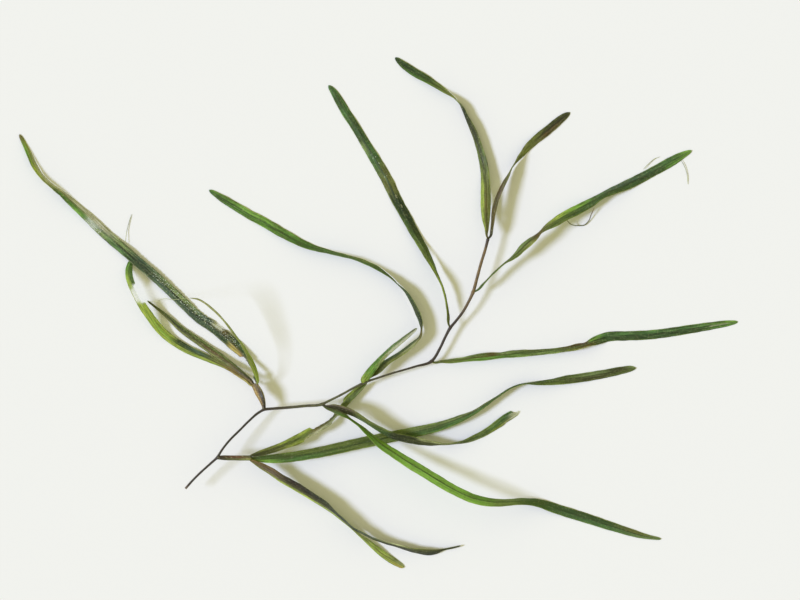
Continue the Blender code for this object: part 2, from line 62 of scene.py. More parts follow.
SOLID_THICKNESS = 0.4
BLADE_THICKNESS = 0.17
THIN_MARGIN_SHARE = 0.5
KEEL_SHARE = 0.07
RIB_HEIGHT = 0.05
RIB_HALF_WIDTH = 0.17
ROW_SPACING = 0.35
TIP_ROUNDING = 1.3
ROOT_WIDTH_SHARE = 0.75
SHEATH_REACH = 0.9
SURFACE_GAP = 0.02
HALF_COLUMNS = (0.06, 0.15, 0.3, 0.46, 0.62, 0.78, 0.91, 1.0)
MARGIN_WAVE = 0.03
MARGIN_WAVE_LENGTH = 5.0
TORN_WAVE = 0.1
TORN_WAVE_LENGTH = 1.6
TIP_LEAST_SHARE = 0.03
KEPT_LIMITS = (0.02, 1.02)
CALM_END_LENGTH = 8.0
HOLE_SIDES = 18
HOLE_DEPTH = 3.0
PATCH_COLUMNS = 5
PATCH_ROW_STEP = 3

STEM_SIDES = 16
STEM_ROW_SPACING = 0.4
STEM_RIDGES = 6.0
STEM_RIDGE_HEIGHT = 0.07
NODE_SWELLING = 0.09
NODE_HALF_LENGTH = 0.55
STEM_WAVE = 0.04
STEM_WAVE_LENGTH = 4.0

THREAD_SIDES = 8
THREAD_ROW_SPACING = 0.25
THREAD_TAPER_LENGTH = 1.2
THREAD_END_SHARE = 0.45

# Lime grains lie flat: the least and greatest shares of their size, across and up
SMALLEST_GRAIN = (0.5, 0.4, 0.25)
LARGEST_GRAIN = (1.5, 1.0, 0.45)

# Materials: sizes in millimetres, and the depth of pores in metres
LANE_HALF_WIDTH = 1.6
LANE_LENGTH = 7.0
CELL_BLOCK = 0.25
PORE_SPACING = 0.15
PORE_DEPTH = 0.00003

# How strongly the fine strands show, and the ramp of a half that is nowhere worn clear
STRAND_STRENGTH = 0.14
NOWHERE = ((0.0, 0.0),)

# Settings that many nodes share
SMOOTH = {"interpolation_type": "SMOOTHSTEP"}
MIXED = {"data_type": "RGBA", "blend_type": "MIX"}
OVERLAID = {"data_type": "RGBA", "blend_type": "OVERLAY"}

Tree = bpy.types.NodeTree
Socket = bpy.types.NodeSocket
Place = tuple[float, float, float]
Station = tuple[float, float, float, float, float]
StemPoint = tuple[float, float, float, float]

# Where the leaves stand on the stem and on its two side shoots, counted from the cut end
FORK_LOWER: Place = (10.2, 9.9, 7.3)
FORK_LEFT: Place = (25.1, 25.3, 5.0)
THIRD_NODE: Place = (43.5, 26.9, 5.0)
MIDDLE_NODE: Place = (57.3, 33.9, 4.5)
FOURTH_NODE: Place = (78.4, 40.5, 3.0)
FIFTH_NODE: Place = (84.5, 51.2, 3.6)
SIXTH_NODE: Place = (91.8, 62.6, 4.6)
TOP_NODE: Place = (96.6, 79.7, 4.7)
LOWER_SHOOT_END: Place = (20.2, 9.8, 7.1)
LEFT_SHOOT_END: Place = (22.3, 32.7, 4.1)


class Side(Enum):
    """A blade's left or right half, seen from its base with its upper face towards the eye."""

    LEFT = -1
    RIGHT = 1


class Shade(Enum):
    """Colours of the sprig as matched sRGB hex."""

    BLACK_GREEN = "#31362A"
    DEEP_GREEN = "#46583A"
    BLUE_GREEN = "#667C64"
    DARK_GREEN = "#557042"
    GREEN = "#658D50"
    MOSS = "#768649"
    SAGE = "#92A668"
    BRIGHT_GREEN = "#7CAC50"
    FRESH_GREEN = "#9CCB5C"
    YELLOW_GREEN = "#B8C95E"
    DARK_OLIVE = "#5E603C"
    OLIVE = "#8C9152"
    PALE_OLIVE = "#BCC08A"
    OCHRE = "#A5864A"
    YELLOW = "#D2BE66"
    BROWN = "#755F38"
    DARK_BROWN = "#382E26"
    RED_BROWN = "#6D4B36"
    MAUVE_BROWN = "#7F6F60"
    PALE_CREAM = "#DCDABC"
    SILVER = "#D8E0D0"

    def linear(self) -> tuple[float, float, float, float]:
        """The shade as linear red, green and blue, with an alpha of one."""
        return linear_colour(self.value)


Stops = tuple[tuple[float, Shade], ...]
Shares = tuple[tuple[float, float], ...]


def linear_colour(code: str) -> tuple[float, float, float, float]:
    """Turns a hex sRGB colour to linear.

    Args:
        code: The colour as #RRGGBB.

    Returns:
        Linear red, green, blue and an alpha of one.
    """
    shades = [int(code[i : i + 2], 16) / 255 for i in (1, 3, 5)]
    red, green, blue = (s / 12.92 if s <= 0.04045 else ((s + 0.055) / 1.055) ** 2.4 for s in shades)
    return red, green, blue, 1.0


def add_node(
    tree: Tree,
    kind: str,
    inputs: Mapping[Any, Any] | None = None,
    stops: Stops | Shares = (),
    **settings: Any,
) -> bpy.types.Node:
    """Adds a node with its settings, and fills or links its inputs.

    Args:
        tree: The node tree that takes the node.
        kind: The node's type name.
        inputs: Values, or output sockets to link, by input name or number.
        stops: A colour ramp's pairs of a share and a Shade, or of a share and a grey value.
        settings: Properties of the node.

    Returns:
        The new node.
    """
    node = tree.nodes.new(kind)
    for name, value in settings.items():
        setattr(node, name, value)
    for name, value in (inputs or {}).items():
        if isinstance(value, Socket):
            tree.links.new(value, node.inputs[name])
        else:
            node.inputs[name].default_value = value
    if stops:
        node.color_ramp.interpolation = "EASE"
        marks = node.color_ramp.elements
        marks.remove(marks[-1])
        for number, (share, value) in enumerate(stops):
            mark = marks.new(share) if number else marks[0]
            mark.position = share
            grey = not isinstance(value, Shade)
            mark.color = (value, value, value, 1.0) if grey else value.linear()
    return node


def patches(
    tree: Tree,
    grain_mm: float,
    span: tuple[float, float],
    result: tuple[float, float],
    detail: float = 2.0,
    place: Socket | None = None,
) -> Socket:
    """Spreads uneven patches of a real size over a piece, with soft edges.

    Args:
        tree: The material's node tree.
        grain_mm: The size of one patch, in millimetres.
        span: The noise's values where the change starts and ends.
        result: What comes out at those two values.
        detail: How many finer layers are added.
        place: The socket with the place in metres, or none for object space.

    Returns:
        The socket with the patches' value.
    """
    place = place or add_node(tree, "ShaderNodeTexCoord").outputs["Object"]
    grain = {"Vector": place, "Scale": 1 / (grain_mm * MM), "Detail": detail}
    cloud = add_node(tree, "ShaderNodeTexNoise", grain).outputs["Fac"]
    change = {0: cloud, 1: span[0], 2: span[1], 3: result[0], 4: result[1]}
    return add_node(tree, "ShaderNodeMapRange", change, **SMOOTH).outputs[0]


def new_tree(name: str) -> tuple[bpy.types.Material, Tree]:
    """Makes a material with an empty node tree.

    Args:
        name: The material's name.

    Returns:
        The material and its tree.
    """
    material = bpy.data.materials.new(name)
    material.use_nodes = True
    material.node_tree.nodes.clear()
    return material, material.node_tree


@dataclass(frozen=True)
class LeafTissue:
    """Wet leaf tissue: two thin waxy skins over green cells, cut lengthwise by fine strands.

    It gives the eye a satin, wet sheen, light that glows through from behind, pale thin
    margins, a darker midrib, and colour that turns with age along the leaf. The margins are
    pale partly in their own colour and partly as painted light glowing through them, and the
    two halves carry painted light: the half that faced the light is painted brighter, the other
    darker.
    """

    # Colours along each half, the midrib and the margin. They hold painted light: the half that
    # faced the light is painted brighter and the other darker, and the pale margin partly stands
    # for light glowing through the thin edge
    left: Stops
    right: Stops
    midrib: Stops
    margin: Shade = Shade.YELLOW_GREEN
    margin_share: float = 0.2
    margin_strength: float = 0.6
    rib_share: float = 0.22
    rib_strength: float = 0.75
    glow: float = 0.48
    mottle: float = 0.4
    streaks: float = 0.5
    pale_flecks: float = 0.35
    strands: int = 11
    clear_left: Shares = ()
    clear_right: Shares = ()

    def material(self, name: str) -> bpy.types.Material:
        """Builds the tissue's material.

        Args:
            name: The material's name.

        Returns:
            The material, which reads the blade's own UV map: across, then along.
        """
        material, tree = new_tree(name)
        place = add_node(tree, "ShaderNodeUVMap", uv_map="blade").outputs["UV"]
        split = add_node(tree, "ShaderNodeSeparateXYZ", {0: place})
        centred = {0: split.outputs["X"], 1: 2.0, 2: -1.0}
        signed = add_node(tree, "ShaderNodeMath", centred, operation="MULTIPLY_ADD").outputs[0]
        reach = add_node(tree, "ShaderNodeMath", {0: signed}, operation="ABSOLUTE").outputs[0]
        along = split.outputs["Y"]
        sides = {0: signed, 1: -0.35, 2: 0.35, 3: 0.0, 4: 1.0}
        to_right = add_node(tree, "ShaderNodeMapRange", sides, **SMOOTH).outputs[0]

        turns = {0: signed, 1: self.strands * math.pi}
        angle = add_node(tree, "ShaderNodeMath", turns, operation="MULTIPLY").outputs[0]
        strand = add_node(tree, "ShaderNodeMath", {0: angle}, operation="SINE").outputs[0]
        colour = self.cell_colour(tree, along, reach, to_right)
        colour = self.veined(tree, colour, signed, along, strand)

        # Cells in blocks of about 0.25 mm roughen the skin a little
        blocks = {
            "Vector": add_node(tree, "ShaderNodeTexCoord").outputs["Object"],
            "Scale": 1 / (CELL_BLOCK * MM),
            "Detail": 1.0,
        }
        cells = add_node(tree, "ShaderNodeTexNoise", blocks).outputs["Fac"]
        ridges = {0: strand, 1: 0.35, 2: cells}
        height = add_node(tree, "ShaderNodeMath", ridges, operation="MULTIPLY_ADD").outputs[0]
        relief = {"Strength": 0.5, "Distance": PORE_DEPTH, "Height": height}
        finish = {
            "Base Color": colour,
            # The film of water is uneven, in patches of about 1.6 mm
            "Roughness": patches(tree, 1.6, (0.3, 0.7), (0.4, 0.6)),
            "Normal": add_node(tree, "ShaderNodeBump", relief).outputs[0],
            "Specular IOR Level": 0.2,
            "Coat Weight": 0.03,
            "Coat Roughness": 0.2,
        }
        skin = add_node(tree, "ShaderNodeBsdfPrincipled", finish)
        # Light that comes through a leaf is yellower
        warmed = {0: 0.5, 6: colour, 7: Shade.YELLOW_GREEN.linear()}
        shining = add_node(tree, "ShaderNodeMix", warmed, **MIXED).outputs[2]
        through = add_node(tree, "ShaderNodeBsdfTranslucent", {"Color": shining})
        layers = {0: self.glow, 1: skin.outputs[0], 2: through.outputs[0]}
        surface = add_node(tree, "ShaderNodeMixShader", layers).outputs[0]
        if self.clear_left or self.clear_right:
            surface = self.worn_clear(tree, along, reach, to_right, surface)
        add_node(tree, "ShaderNodeOutputMaterial", {"Surface": surface})
        return material

    def cell_colour(self, tree: Tree, along: Socket, reach: Socket, to_right: Socket) -> Socket:
        """Builds the tissue's colour from its halves, midrib, margins and mottling.

        Args:
            tree: The material's node tree.
            along: The share along the blade.
            reach: The share from the midrib to the margin.
            to_right: 0 on the left half and 1 on the right half.

        Returns:
            The socket with the colour.
        """
        left, right, core = (
            add_node(tree, "ShaderNodeValToRGB", {"Fac": along}, stops).outputs[0]
            for stops in (self.left, self.right, self.midrib)
        )
        rib = {0: reach, 1: self.rib_share * 0.4, 2: self.rib_share, 3: self.rib_strength, 4: 0.0}
        edge = {0: reach, 1: 1 - self.margin_share, 2: 1.0, 3: 0.0, 4: self.margin_strength}
        # Ageing cells darken broad patches of 3.5 mm and fine ones of 0.7 mm
        broad = patches(tree, 3.5, (0.4, 0.75), (0.0, self.mottle))
        fine = patches(tree, 0.7, (0.4, 0.75), (0.0, self.mottle * 0.7))
        # Air and lime in the tissue lighten patches of about half a millimetre
        pale = patches(tree, 0.5, (0.52, 0.72), (0.0, self.pale_flecks), 3.0)
        # The halves and the pale margin carry painted light as well as the tissue's own colour
        tints = (
            (to_right, right),
            (add_node(tree, "ShaderNodeMapRange", rib, **SMOOTH).outputs[0], core),
            (add_node(tree, "ShaderNodeMapRange", edge, **SMOOTH).outputs[0], self.margin.linear()),
            (broad, Shade.DARK_OLIVE.linear()),
            (fine, Shade.BLACK_GREEN.linear()),
            (pale, Shade.PALE_OLIVE.linear()),
        )
        colour = left
        for share, tint in tints:
            layer = {0: share, 6: colour, 7: tint}
            colour = add_node(tree, "ShaderNodeMix", layer, **MIXED).outputs[2]
        return colour

    def veined(
        self, tree: Tree, colour: Socket, signed: Socket, along: Socket, strand: Socket
    ) -> Socket:
        """Lays the streaks of the veins and the fine strands over the colour.

        Args:
            tree: The material's node tree.
            colour: The tissue's colour.
            signed: The share across, from -1 at the left margin to 1 at the right.
            along: The share along the blade.
            strand: The strands' wave, from -1 to 1.

        Returns:
            The socket with the colour.
        """
        # Veins and rows of cells show as uneven streaks, about 0.45 mm wide and 7 mm long
        lane = {}
        for axis, (share, length) in enumerate(((signed, LANE_HALF_WIDTH), (along, LANE_LENGTH))):
            sized = {0: share, 1: length * MM}
            lane[axis] = add_node(tree, "ShaderNodeMath", sized, operation="MULTIPLY").outputs[0]
        lane_place = add_node(tree, "ShaderNodeCombineXYZ", lane).outputs[0]
        streak = patches(tree, 0.45, (0.3, 0.7), (0.1, 0.9), 3.0, lane_place)
        # Strands every 0.3 mm or so, drawn about twice as coarse as real ones, so that they show
        grey = {0: strand, 1: 0.5, 2: 0.5}
        line = add_node(tree, "ShaderNodeMath", grey, operation="MULTIPLY_ADD").outputs[0]
        for share, tint in ((self.streaks, streak), (STRAND_STRENGTH, line)):
            layer = {0: share, 6: colour, 7: tint}
            colour = add_node(tree, "ShaderNodeMix", layer, **OVERLAID).outputs[2]
        return colour

    def worn_clear(
        self, tree: Tree, along: Socket, reach: Socket, to_right: Socket, surface: Socket
    ) -> Socket:
        """Lets the surface show through where the tissue has worn down to its clear skins.

        The firmer outermost edge stays as a line.

        Args:
            tree: The material's node tree.
            along: The share along the blade.
            reach: The share from the midrib to the margin.
            to_right: 0 on the left half and 1 on the right half.
            surface: The shader of the whole tissue.

        Returns:
            The socket with the mixed shader.
        """
        left, right = (
            add_node(tree, "ShaderNodeValToRGB", {"Fac": along}, shares or NOWHERE).outputs[0]
            for shares in (self.clear_left, self.clear_right)
        )
        halves = {0: to_right, 6: left, 7: right}
        worn = add_node(tree, "ShaderNodeMix", halves, **MIXED).outputs[2]
        firm = {0: reach, 1: 0.74, 2: 0.9, 3: 1.0, 4: 0.3}
        inside = add_node(tree, "ShaderNodeMapRange", firm, **SMOOTH).outputs[0]
        both = {0: worn, 1: inside}
        share = add_node(tree, "ShaderNodeMath", both, operation="MULTIPLY").outputs[0]
        film = add_node(tree, "ShaderNodeBsdfTransparent").outputs[0]
        return add_node(tree, "ShaderNodeMixShader", {0: share, 1: surface, 2: film}).outputs[0]


@dataclass(frozen=True)
class StemSkin:
    """Damp stem skin: a smooth, tough brown rind with olive patches and a low satin shine."""

    along: Stops
    fleck: Shade = Shade.BLACK_GREEN
    roughness: float = 0.42

    def material(self, name: str) -> bpy.types.Material:
        """Builds the skin's material.

        Args:
            name: The material's name.

        Returns:
            The material, which reads the share along the piece from its "along" attribute.
        """
        material, tree = new_tree(name)
        place = add_node(tree, "ShaderNodeAttribute", attribute_name="along").outputs["Fac"]
        rind = add_node(tree, "ShaderNodeValToRGB", {"Fac": place}, self.along).outputs[0]
        spots = patches(tree, 1.2, (0.42, 0.7), (0.0, 0.6))
        tinted = {0: spots, 6: rind, 7: self.fleck.linear()}
        # Pores and scuffs of about 0.15 mm
        grain = {
            "Vector": add_node(tree, "ShaderNodeTexCoord").outputs["Object"],
            "Scale": 1 / (PORE_SPACING * MM),
            "Detail": 2.0,
        }
        pores = add_node(tree, "ShaderNodeTexNoise", grain).outputs["Fac"]
        relief = {"Strength": 0.5, "Distance": PORE_DEPTH, "Height": pores}
        finish = {
            "Base Color": add_node(tree, "ShaderNodeMix", tinted, **MIXED).outputs[2],
            "Roughness": self.roughness,
            "Normal": add_node(tree, "ShaderNodeBump", relief).outputs[0],
            "Coat Weight": 0.06,
            "Coat Roughness": 0.2,
        }
        skin = add_node(tree, "ShaderNodeBsdfPrincipled", finish)
        add_node(tree, "ShaderNodeOutputMaterial", {"Surface": skin.outputs[0]})
        return material


@dataclass(frozen=True)
class LimeGrain:
    """Lime crust, laid down on the leaf as small pale crystals: chalky, with a silvery glint."""

    colour: Shade = Shade.SILVER
    roughness: float = 0.35

    def material(self, name: str) -> bpy.types.Material:
        """Builds the grains' material, with patches of about 0.4 mm that are duller.

        Args:
            name: The material's name.

        Returns:
            The material.
        """
        material, tree = new_tree(name)
        dull = patches(tree, 0.4, (0.4, 0.7), (0.0, 0.4))
        tinted = {0: dull, 6: self.colour.linear(), 7: Shade.PALE_OLIVE.linear()}
        finish = {
            "Base Color": add_node(tree, "ShaderNodeMix", tinted, **MIXED).outputs[2],
            "Roughness": self.roughness,
            "Coat Weight": 0.3,
        }
        grain = add_node(tree, "ShaderNodeBsdfPrincipled", finish)
        add_node(tree, "ShaderNodeOutputMaterial", {"Surface": grain.outputs[0]})
        return material


def smooth_rows(
    stations: Sequence[Sequence[float]], spacing: float
) -> tuple[np.ndarray, np.ndarray]:
    """Reads closely spaced rows from a smooth curve through the stations.

    Args:
        stations: Places along a piece, each with its x, y, z and further values.
        spacing: The distance between two rows.

    Returns:
        The distances from the first station, and the rows.
    """
    given = np.array(stations, float)
    steps = np.linalg.norm(np.diff(given[:, :3], axis=0), axis=1)
    along = np.concatenate([[0.0], np.cumsum(steps)])
    slopes = np.gradient(given, along, axis=0)
    at = np.linspace(0.0, along[-1], round(along[-1] / spacing) + 1)
    span = np.clip(np.searchsorted(along, at, side="right") - 1, 0, len(along) - 2)
    length = (along[span + 1] - along[span])[:, None]
    share = ((at - along[span]) / length[:, 0])[:, None]
    rows = (
        given[span] * (1 + 2 * share) * (1 - share) ** 2
        + given[span + 1] * (3 - 2 * share) * share**2
        + slopes[span] * length * share * (1 - share) ** 2
        - slopes[span + 1] * length * (1 - share) * share**2
    )
    return at, rows


def wander(at: np.ndarray, seed: int, wavelength: float) -> np.ndarray:
    """A gentle irregular wave along a piece.

    Args:
        at: Distances along the piece, in millimetres.
        seed: The wave's own number.
        wavelength: About how long one wave is, in millimetres.

    Returns:
        Values between about -1 and 1.
    """
    chance = np.random.default_rng(seed)
    total = np.zeros_like(at)
    for octave in range(3):
        stretch = wavelength * chance.uniform(0.8, 1.25) / 1.7**octave
        total += np.sin(2 * np.pi * (at / stretch + chance.random())) / 1.6**octave
    return total / 2.0


def in_row_frame(points: np.ndarray) -> np.ndarray:
    """Places measured from the cut end in millimetres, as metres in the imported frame."""
    return (points - MIDDLE) * MM


def dress(
    piece: bpy.types.Object,
    material: bpy.types.Material | None = None,
    nodes: Sequence[str] = (),
) -> None:
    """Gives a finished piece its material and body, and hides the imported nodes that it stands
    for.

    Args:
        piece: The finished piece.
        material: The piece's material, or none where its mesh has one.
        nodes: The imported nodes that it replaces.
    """
    if piece.name not in bpy.context.scene.collection.all_objects:
        bpy.context.scene.collection.objects.link(piece)
    if material is not None:
        piece.data.materials.clear()
        piece.data.materials.append(material)
    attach(piece, BODY)
    if nodes:
        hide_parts(*nodes)
    triangles = sum(len(face.vertices) - 2 for face in piece.data.polygons)
    LOG.info("%s: %d triangles", piece.name, triangles)


def plain_mesh(piece: bpy.types.Object, name: str) -> bpy.types.Object:
    """Turns what an object's modifiers make into a plain mesh object, and removes the first object.

    Args:
        piece: The object with live modifiers.
        name: The new object's name.

    Returns:
        The new object, not yet in a collection.
    """
    graph = bpy.context.evaluated_depsgraph_get()
    mesh = bpy.data.meshes.new_from_object(piece.evaluated_get(graph), depsgraph=graph)
    mesh.name = name
    bpy.data.objects.remove(piece, do_unlink=True)
    return bpy.data.objects.new(name, mesh)


def loft(name: str, rings: np.ndarray, maps: np.ndarray) -> bpy.types.Object:
    """Makes a closed skin through rings of points, with both ends filled.

    Args:
        name: The object's name.
        rings: Points in metres, by row and round each ring.
        maps: Each point's place across and along, for the UV map.

    Returns:
        A new object, smooth shaded, with its UV map named blade.
    """
    shape = bmesh.new()
    layer = shape.loops.layers.uv.new("blade")
    count = rings.shape[1]
    verts = [[shape.verts.new(point) for point in ring] for ring in rings]
    place = {
        vert: maps[row][turn] for row, ring in enumerate(verts) for turn, vert in enumerate(ring)
    }
    for lower, upper in zip(verts, verts[1:]):
        for turn in range(count):
            after = (turn + 1) % count
            shape.faces.new((lower[turn], lower[after], upper[after], upper[turn]))
    for row in (0, -1):
        pole = shape.verts.new(rings[row].mean(axis=0))
        place[pole] = maps[row].mean(axis=0)
        for turn in range(count):
            pair = (verts[row][turn], verts[row][(turn + 1) % count])
            shape.faces.new((*(pair[::-1] if row == 0 else pair), pole))
    for face in shape.faces:
        face.smooth = True
        for corner in face.loops:
            corner[layer].uv = place[corner.vert]
    bmesh.ops.recalc_face_normals(shape, faces=shape.faces)
    mesh = bpy.data.meshes.new(name)
    shape.to_mesh(mesh)
    shape.free()
    return bpy.data.objects.new(name, mesh)


@dataclass(frozen=True)
class Tear:
    """A stretch where one half of a blade is torn or worn away.

    The stretch runs between two shares of the blade's length, and keep is the share of that
    half's width that is left.
    """

    side: Side
    start: float
    stop: float
    keep: float
    ease_mm: float = 0.6


@dataclass(frozen=True)
class Hole:
    """A small oval hole, at a share along the blade and a share across from the midrib."""

    along: float
    across: float
    length: float
    width: float


@dataclass
class Blade:
    """One thin leaf blade, laid along its stations."""

    node: str
    slot: str
    tissue: LeafTissue
    stations: Sequence[Station]
    seed: int
    root: Place
    tears: Sequence[Tear] = ()
    holes: Sequence[Hole] = ()
    ripple: float = 0.1
    ripple_length: float = 11.0
    thickness: float = BLADE_THICKNESS
    keel: float = KEEL_SHARE
    tip_rounding: float = TIP_ROUNDING
    rows: np.ndarray = field(init=False, repr=False)
    at: np.ndarray = field(init=False, repr=False)

    def __post_init__(self) -> None:
        """Reads the blade's rows, with its base run into what carries it."""
        given = np.array(self.stations, float)
        start = given[0].copy()
        start[:3] = self.root
        start[3] *= ROOT_WIDTH_SHARE
        self.at, self.rows = smooth_rows([start, *given], ROW_SPACING)

    def frames(self) -> tuple[np.ndarray, np.ndarray, np.ndarray]:
        """Finds each row's centre and its directions across and up from the blade.

        Returns:
            Centres, half widths as vectors to the right, and unit normals.
        """
        centres, widths = self.rows[:, :3].copy(), self.rows[:, 3]
        rolls = np.radians(self.rows[:, 4])
        turn, rise = np.cos(rolls), np.sin(rolls)
        keel_drop = self.keel * widths * np.maximum(-turn, 0)
        reach = widths / 2 * np.abs(rise) + self.thickness / 2 * np.abs(turn) + keel_drop
        lowered = centres[:, 2] - (SOLID_THICKNESS - self.thickness) / 2
        centres[:, 2] = np.maximum(lowered, reach + SURFACE_GAP)
        tangents = np.gradient(centres, axis=0)
        tangents /= np.linalg.norm(tangents, axis=1)[:, None]
        right = np.cross(tangents, (0.0, 0.0, 1.0))
        right /= np.linalg.norm(right, axis=1)[:, None]
        up = np.cross(right, tangents)
        halves = (right * turn[:, None] + up * rise[:, None]) * widths[:, None] / 2
        return centres, halves, up * turn[:, None] - right * rise[:, None]

    def kept_width(self, side: Side) -> np.ndarray:
        """Works out how much of one half's width each row keeps, with its wavy or torn edge.

        Args:
            side: The half.

        Returns:
            The share kept, for each row.
        """
        wave = wander(self.at, self.seed * 10 + side.value, MARGIN_WAVE_LENGTH)
        kept = 1 + MARGIN_WAVE * wave
        length = self.at[-1]
        left_over = np.clip((length - self.at) / self.tip_rounding, 0.0, 1.0)
        rounded = np.sqrt(np.maximum(1 - (1 - left_over) ** 2, 0.0))
        kept *= rounded * (1 - TIP_LEAST_SHARE) + TIP_LEAST_SHARE
        for tear in self.tears:
            if tear.side is side:
                begin, end = tear.start * length, tear.stop * length
                worn = np.clip((self.at - begin) / tear.ease_mm, 0, 1)
                worn *= np.clip((end - self.at) / tear.ease_mm, 0, 1)
                ragged = TORN_WAVE * wander(self.at, self.seed * 10 + 5, TORN_WAVE_LENGTH) * worn
                kept *= 1 - (1 - tear.keep) * worn + ragged
        return np.clip(kept, *KEPT_LIMITS)

    def section(self) -> tuple[np.ndarray, np.ndarray]:
        """Works out each row's ring: over the upper face from left to right, and back below.

        Returns:
            Shares across, and heights over the midline in millimetres.
        """
        half = np.array(HALF_COLUMNS)
        over = np.concatenate([-half[::-1], [0.0], half])
        ring = np.concatenate([over, over[-2:0:-1]])
        upper = np.concatenate([np.ones(len(over)), -np.ones(len(over) - 2)])
        upper[[0, len(over) - 1]] = 0.0
        left, right = self.kept_width(Side.LEFT), self.kept_width(Side.RIGHT)
        kept = np.where(ring < 0, left[:, None], right[:, None])
        across = ring * kept
        widths = self.rows[:, 3:4]
        thin = THIN_MARGIN_SHARE + (1 - THIN_MARGIN_SHARE) * (1 - ring**4)
        rib = RIB_HEIGHT * np.exp(-((across * widths / 2 / RIB_HALF_WIDTH) ** 2))
        rib *= np.clip(widths / 2.0, 0.0, 1.0)
        calm = np.clip(self.at / CALM_END_LENGTH, 0, 1)
        calm *= np.clip((self.at[-1] - self.at) / CALM_END_LENGTH, 0, 1)
        waves = [
            wander(self.at, self.seed * 10 + number, self.ripple_length) * calm for number in (2, 3)
        ]
        wave = self.ripple * np.where(ring < 0, waves[0][:, None], waves[1][:, None]) * ring**2
        lift = self.keel * widths * (1 - np.abs(across)) + wave
        return across, lift + upper * (self.thickness / 2 * thin + rib)

    def mesh(self) -> bpy.types.Object:
        """Lays the section along the rows and cuts the holes.

        Returns:
            The blade's object, not yet dressed.
        """
        centres, halves, normals = self.frames()
        across, height = self.section()
        points = centres[:, None] + halves[:, None] * across[..., None]
        points += normals[:, None] * height[..., None]
        points[..., 2] = np.maximum(points[..., 2], SURFACE_GAP)
        along = np.broadcast_to((self.at / self.at[-1])[:, None], across.shape)
        maps = np.stack([(across + 1) / 2, along], axis=-1)
        piece = loft(self.piece_name(), in_row_frame(points), maps)
        if self.holes:
            piece = self.pierced(piece)
        return piece

    def pierced(self, piece: bpy.types.Object) -> bpy.types.Object:
        """Cuts the blade's holes with one oval pin for each.

        Args:
            piece: The blade's whole object, which is used up.

        Returns:
            The pierced object.
        """
        centres, halves, normals = self.frames()
        shape = bmesh.new()
        for hole in self.holes:
            row = round(hole.along * (len(self.at) - 1))
            ahead = Vector(centres[row + 1] - centres[row - 1]).normalized()
            up = Vector(normals[row])
            middle = in_row_frame(centres[row] + halves[row] * hole.across)
            turn = Matrix((ahead, up.cross(ahead), up)).transposed().to_4x4()
            size = Matrix.Diagonal((hole.length / 2 * MM, hole.width / 2 * MM, MM, 1.0))
            place = Matrix.Translation(middle) @ turn @ size
            bmesh.ops.create_cone(
                shape,
                cap_ends=True,
                segments=HOLE_SIDES,
                radius1=1.0,
                radius2=1.0,
                depth=HOLE_DEPTH,
                matrix=place,
            )
        mesh = bpy.data.meshes.new("hole_pins")
        shape.to_mesh(mesh)
        shape.free()
        pins = bpy.data.objects.new("hole_pins", mesh)
        for thing in (pins, piece):
            bpy.context.scene.collection.objects.link(thing)
        cut = piece.modifiers.new("Holes", "BOOLEAN")
        cut.operation = "DIFFERENCE"
        cut.solver = "EXACT"
        cut.object = pins
        finished = plain_mesh(piece, self.piece_name())
        bpy.data.objects.remove(pins, do_unlink=True)
        return finished

    def piece_name(self) -> str:
        """The finished piece's own name."""
        return self.node.replace("leaf_", "blade_")

    def patch(self, start: float, stop: float, left: float, right: float) -> bpy.types.Object:
        """Copies part of the blade's upper face, for grains to lie on.

        Args:
            start: The share along the blade where the patch begins.
            stop: The share where it ends.
            left: The share across of its left edge, from -1 to 1.
            right: The share across of its right edge.

        Returns:
            An object with the open patch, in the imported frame.
        """
        centres, halves, normals = self.frames()
        first, last = round(start * len(self.at)), round(stop * len(self.at))
        shape = bmesh.new()
        lines = []
        for row in range(first, last, PATCH_ROW_STEP):
            line = []
            for across in np.linspace(left, right, PATCH_COLUMNS):
                lift = self.keel * self.rows[row, 3] * (1 - abs(across)) + self.thickness / 2
                point = centres[row] + halves[row] * across + normals[row] * lift
                line.append(shape.verts.new(in_row_frame(point)))
            lines.append(line)
        for lower, upper in zip(lines, lines[1:]):
            for turn in range(PATCH_COLUMNS - 1):
                shape.faces.new((lower[turn], lower[turn + 1], upper[turn + 1], upper[turn]))
        mesh = bpy.data.meshes.new("patch")
        shape.to_mesh(mesh)
        shape.free()
        return bpy.data.objects.new("patch", mesh)

    def build(self) -> None:
        """Makes the blade and dresses it."""
        name = f"wet leaf tissue, {self.node}"
        dress(self.mesh(), self.tissue.material(name), [self.node])


def shaped_by(
    piece: bpy.types.Object, tree: Tree, values: Mapping[str, Any], name: str
) -> bpy.types.Object:
    """Runs a geometry tree on an object and keeps the result as a plain mesh.

    Args:
        piece: The object that the tree starts from.
        tree: The geometry tree.
        values: The tree's inputs, by name.
        name: The finished object's name.

    Returns:
        The finished object.
    """
    modifier = piece.modifiers.new("Shape", "NODES")
    modifier.node_group = tree
    for item in tree.interface.items_tree:
        if item.item_type == "SOCKET" and item.in_out == "INPUT" and item.name in values:
            modifier[item.identifier] = values[item.name]
    bpy.context.scene.collection.objects.link(piece)
    return plain_mesh(piece, name)


def new_geometry_tree(
    name: str, sockets: Mapping[str, str]
) -> tuple[Tree, bpy.types.Node, bpy.types.Node]:
    """Makes a geometry tree with named inputs.

    Args:
        name: The tree's name.
        sockets: Each input's name and socket type, after the geometry.

    Returns:
        The tree, its input node and its output node.
    """
    tree = bpy.data.node_groups.new(name, "GeometryNodeTree")
    tree.interface.new_socket("Geometry", in_out="INPUT", socket_type="NodeSocketGeometry")
    for label, kind in sockets.items():
        tree.interface.new_socket(label, in_out="INPUT", socket_type=kind)
    tree.interface.new_socket("Geometry", in_out="OUTPUT", socket_type="NodeSocketGeometry")
    return tree, tree.nodes.new("NodeGroupInput"), tree.nodes.new("NodeGroupOutput")


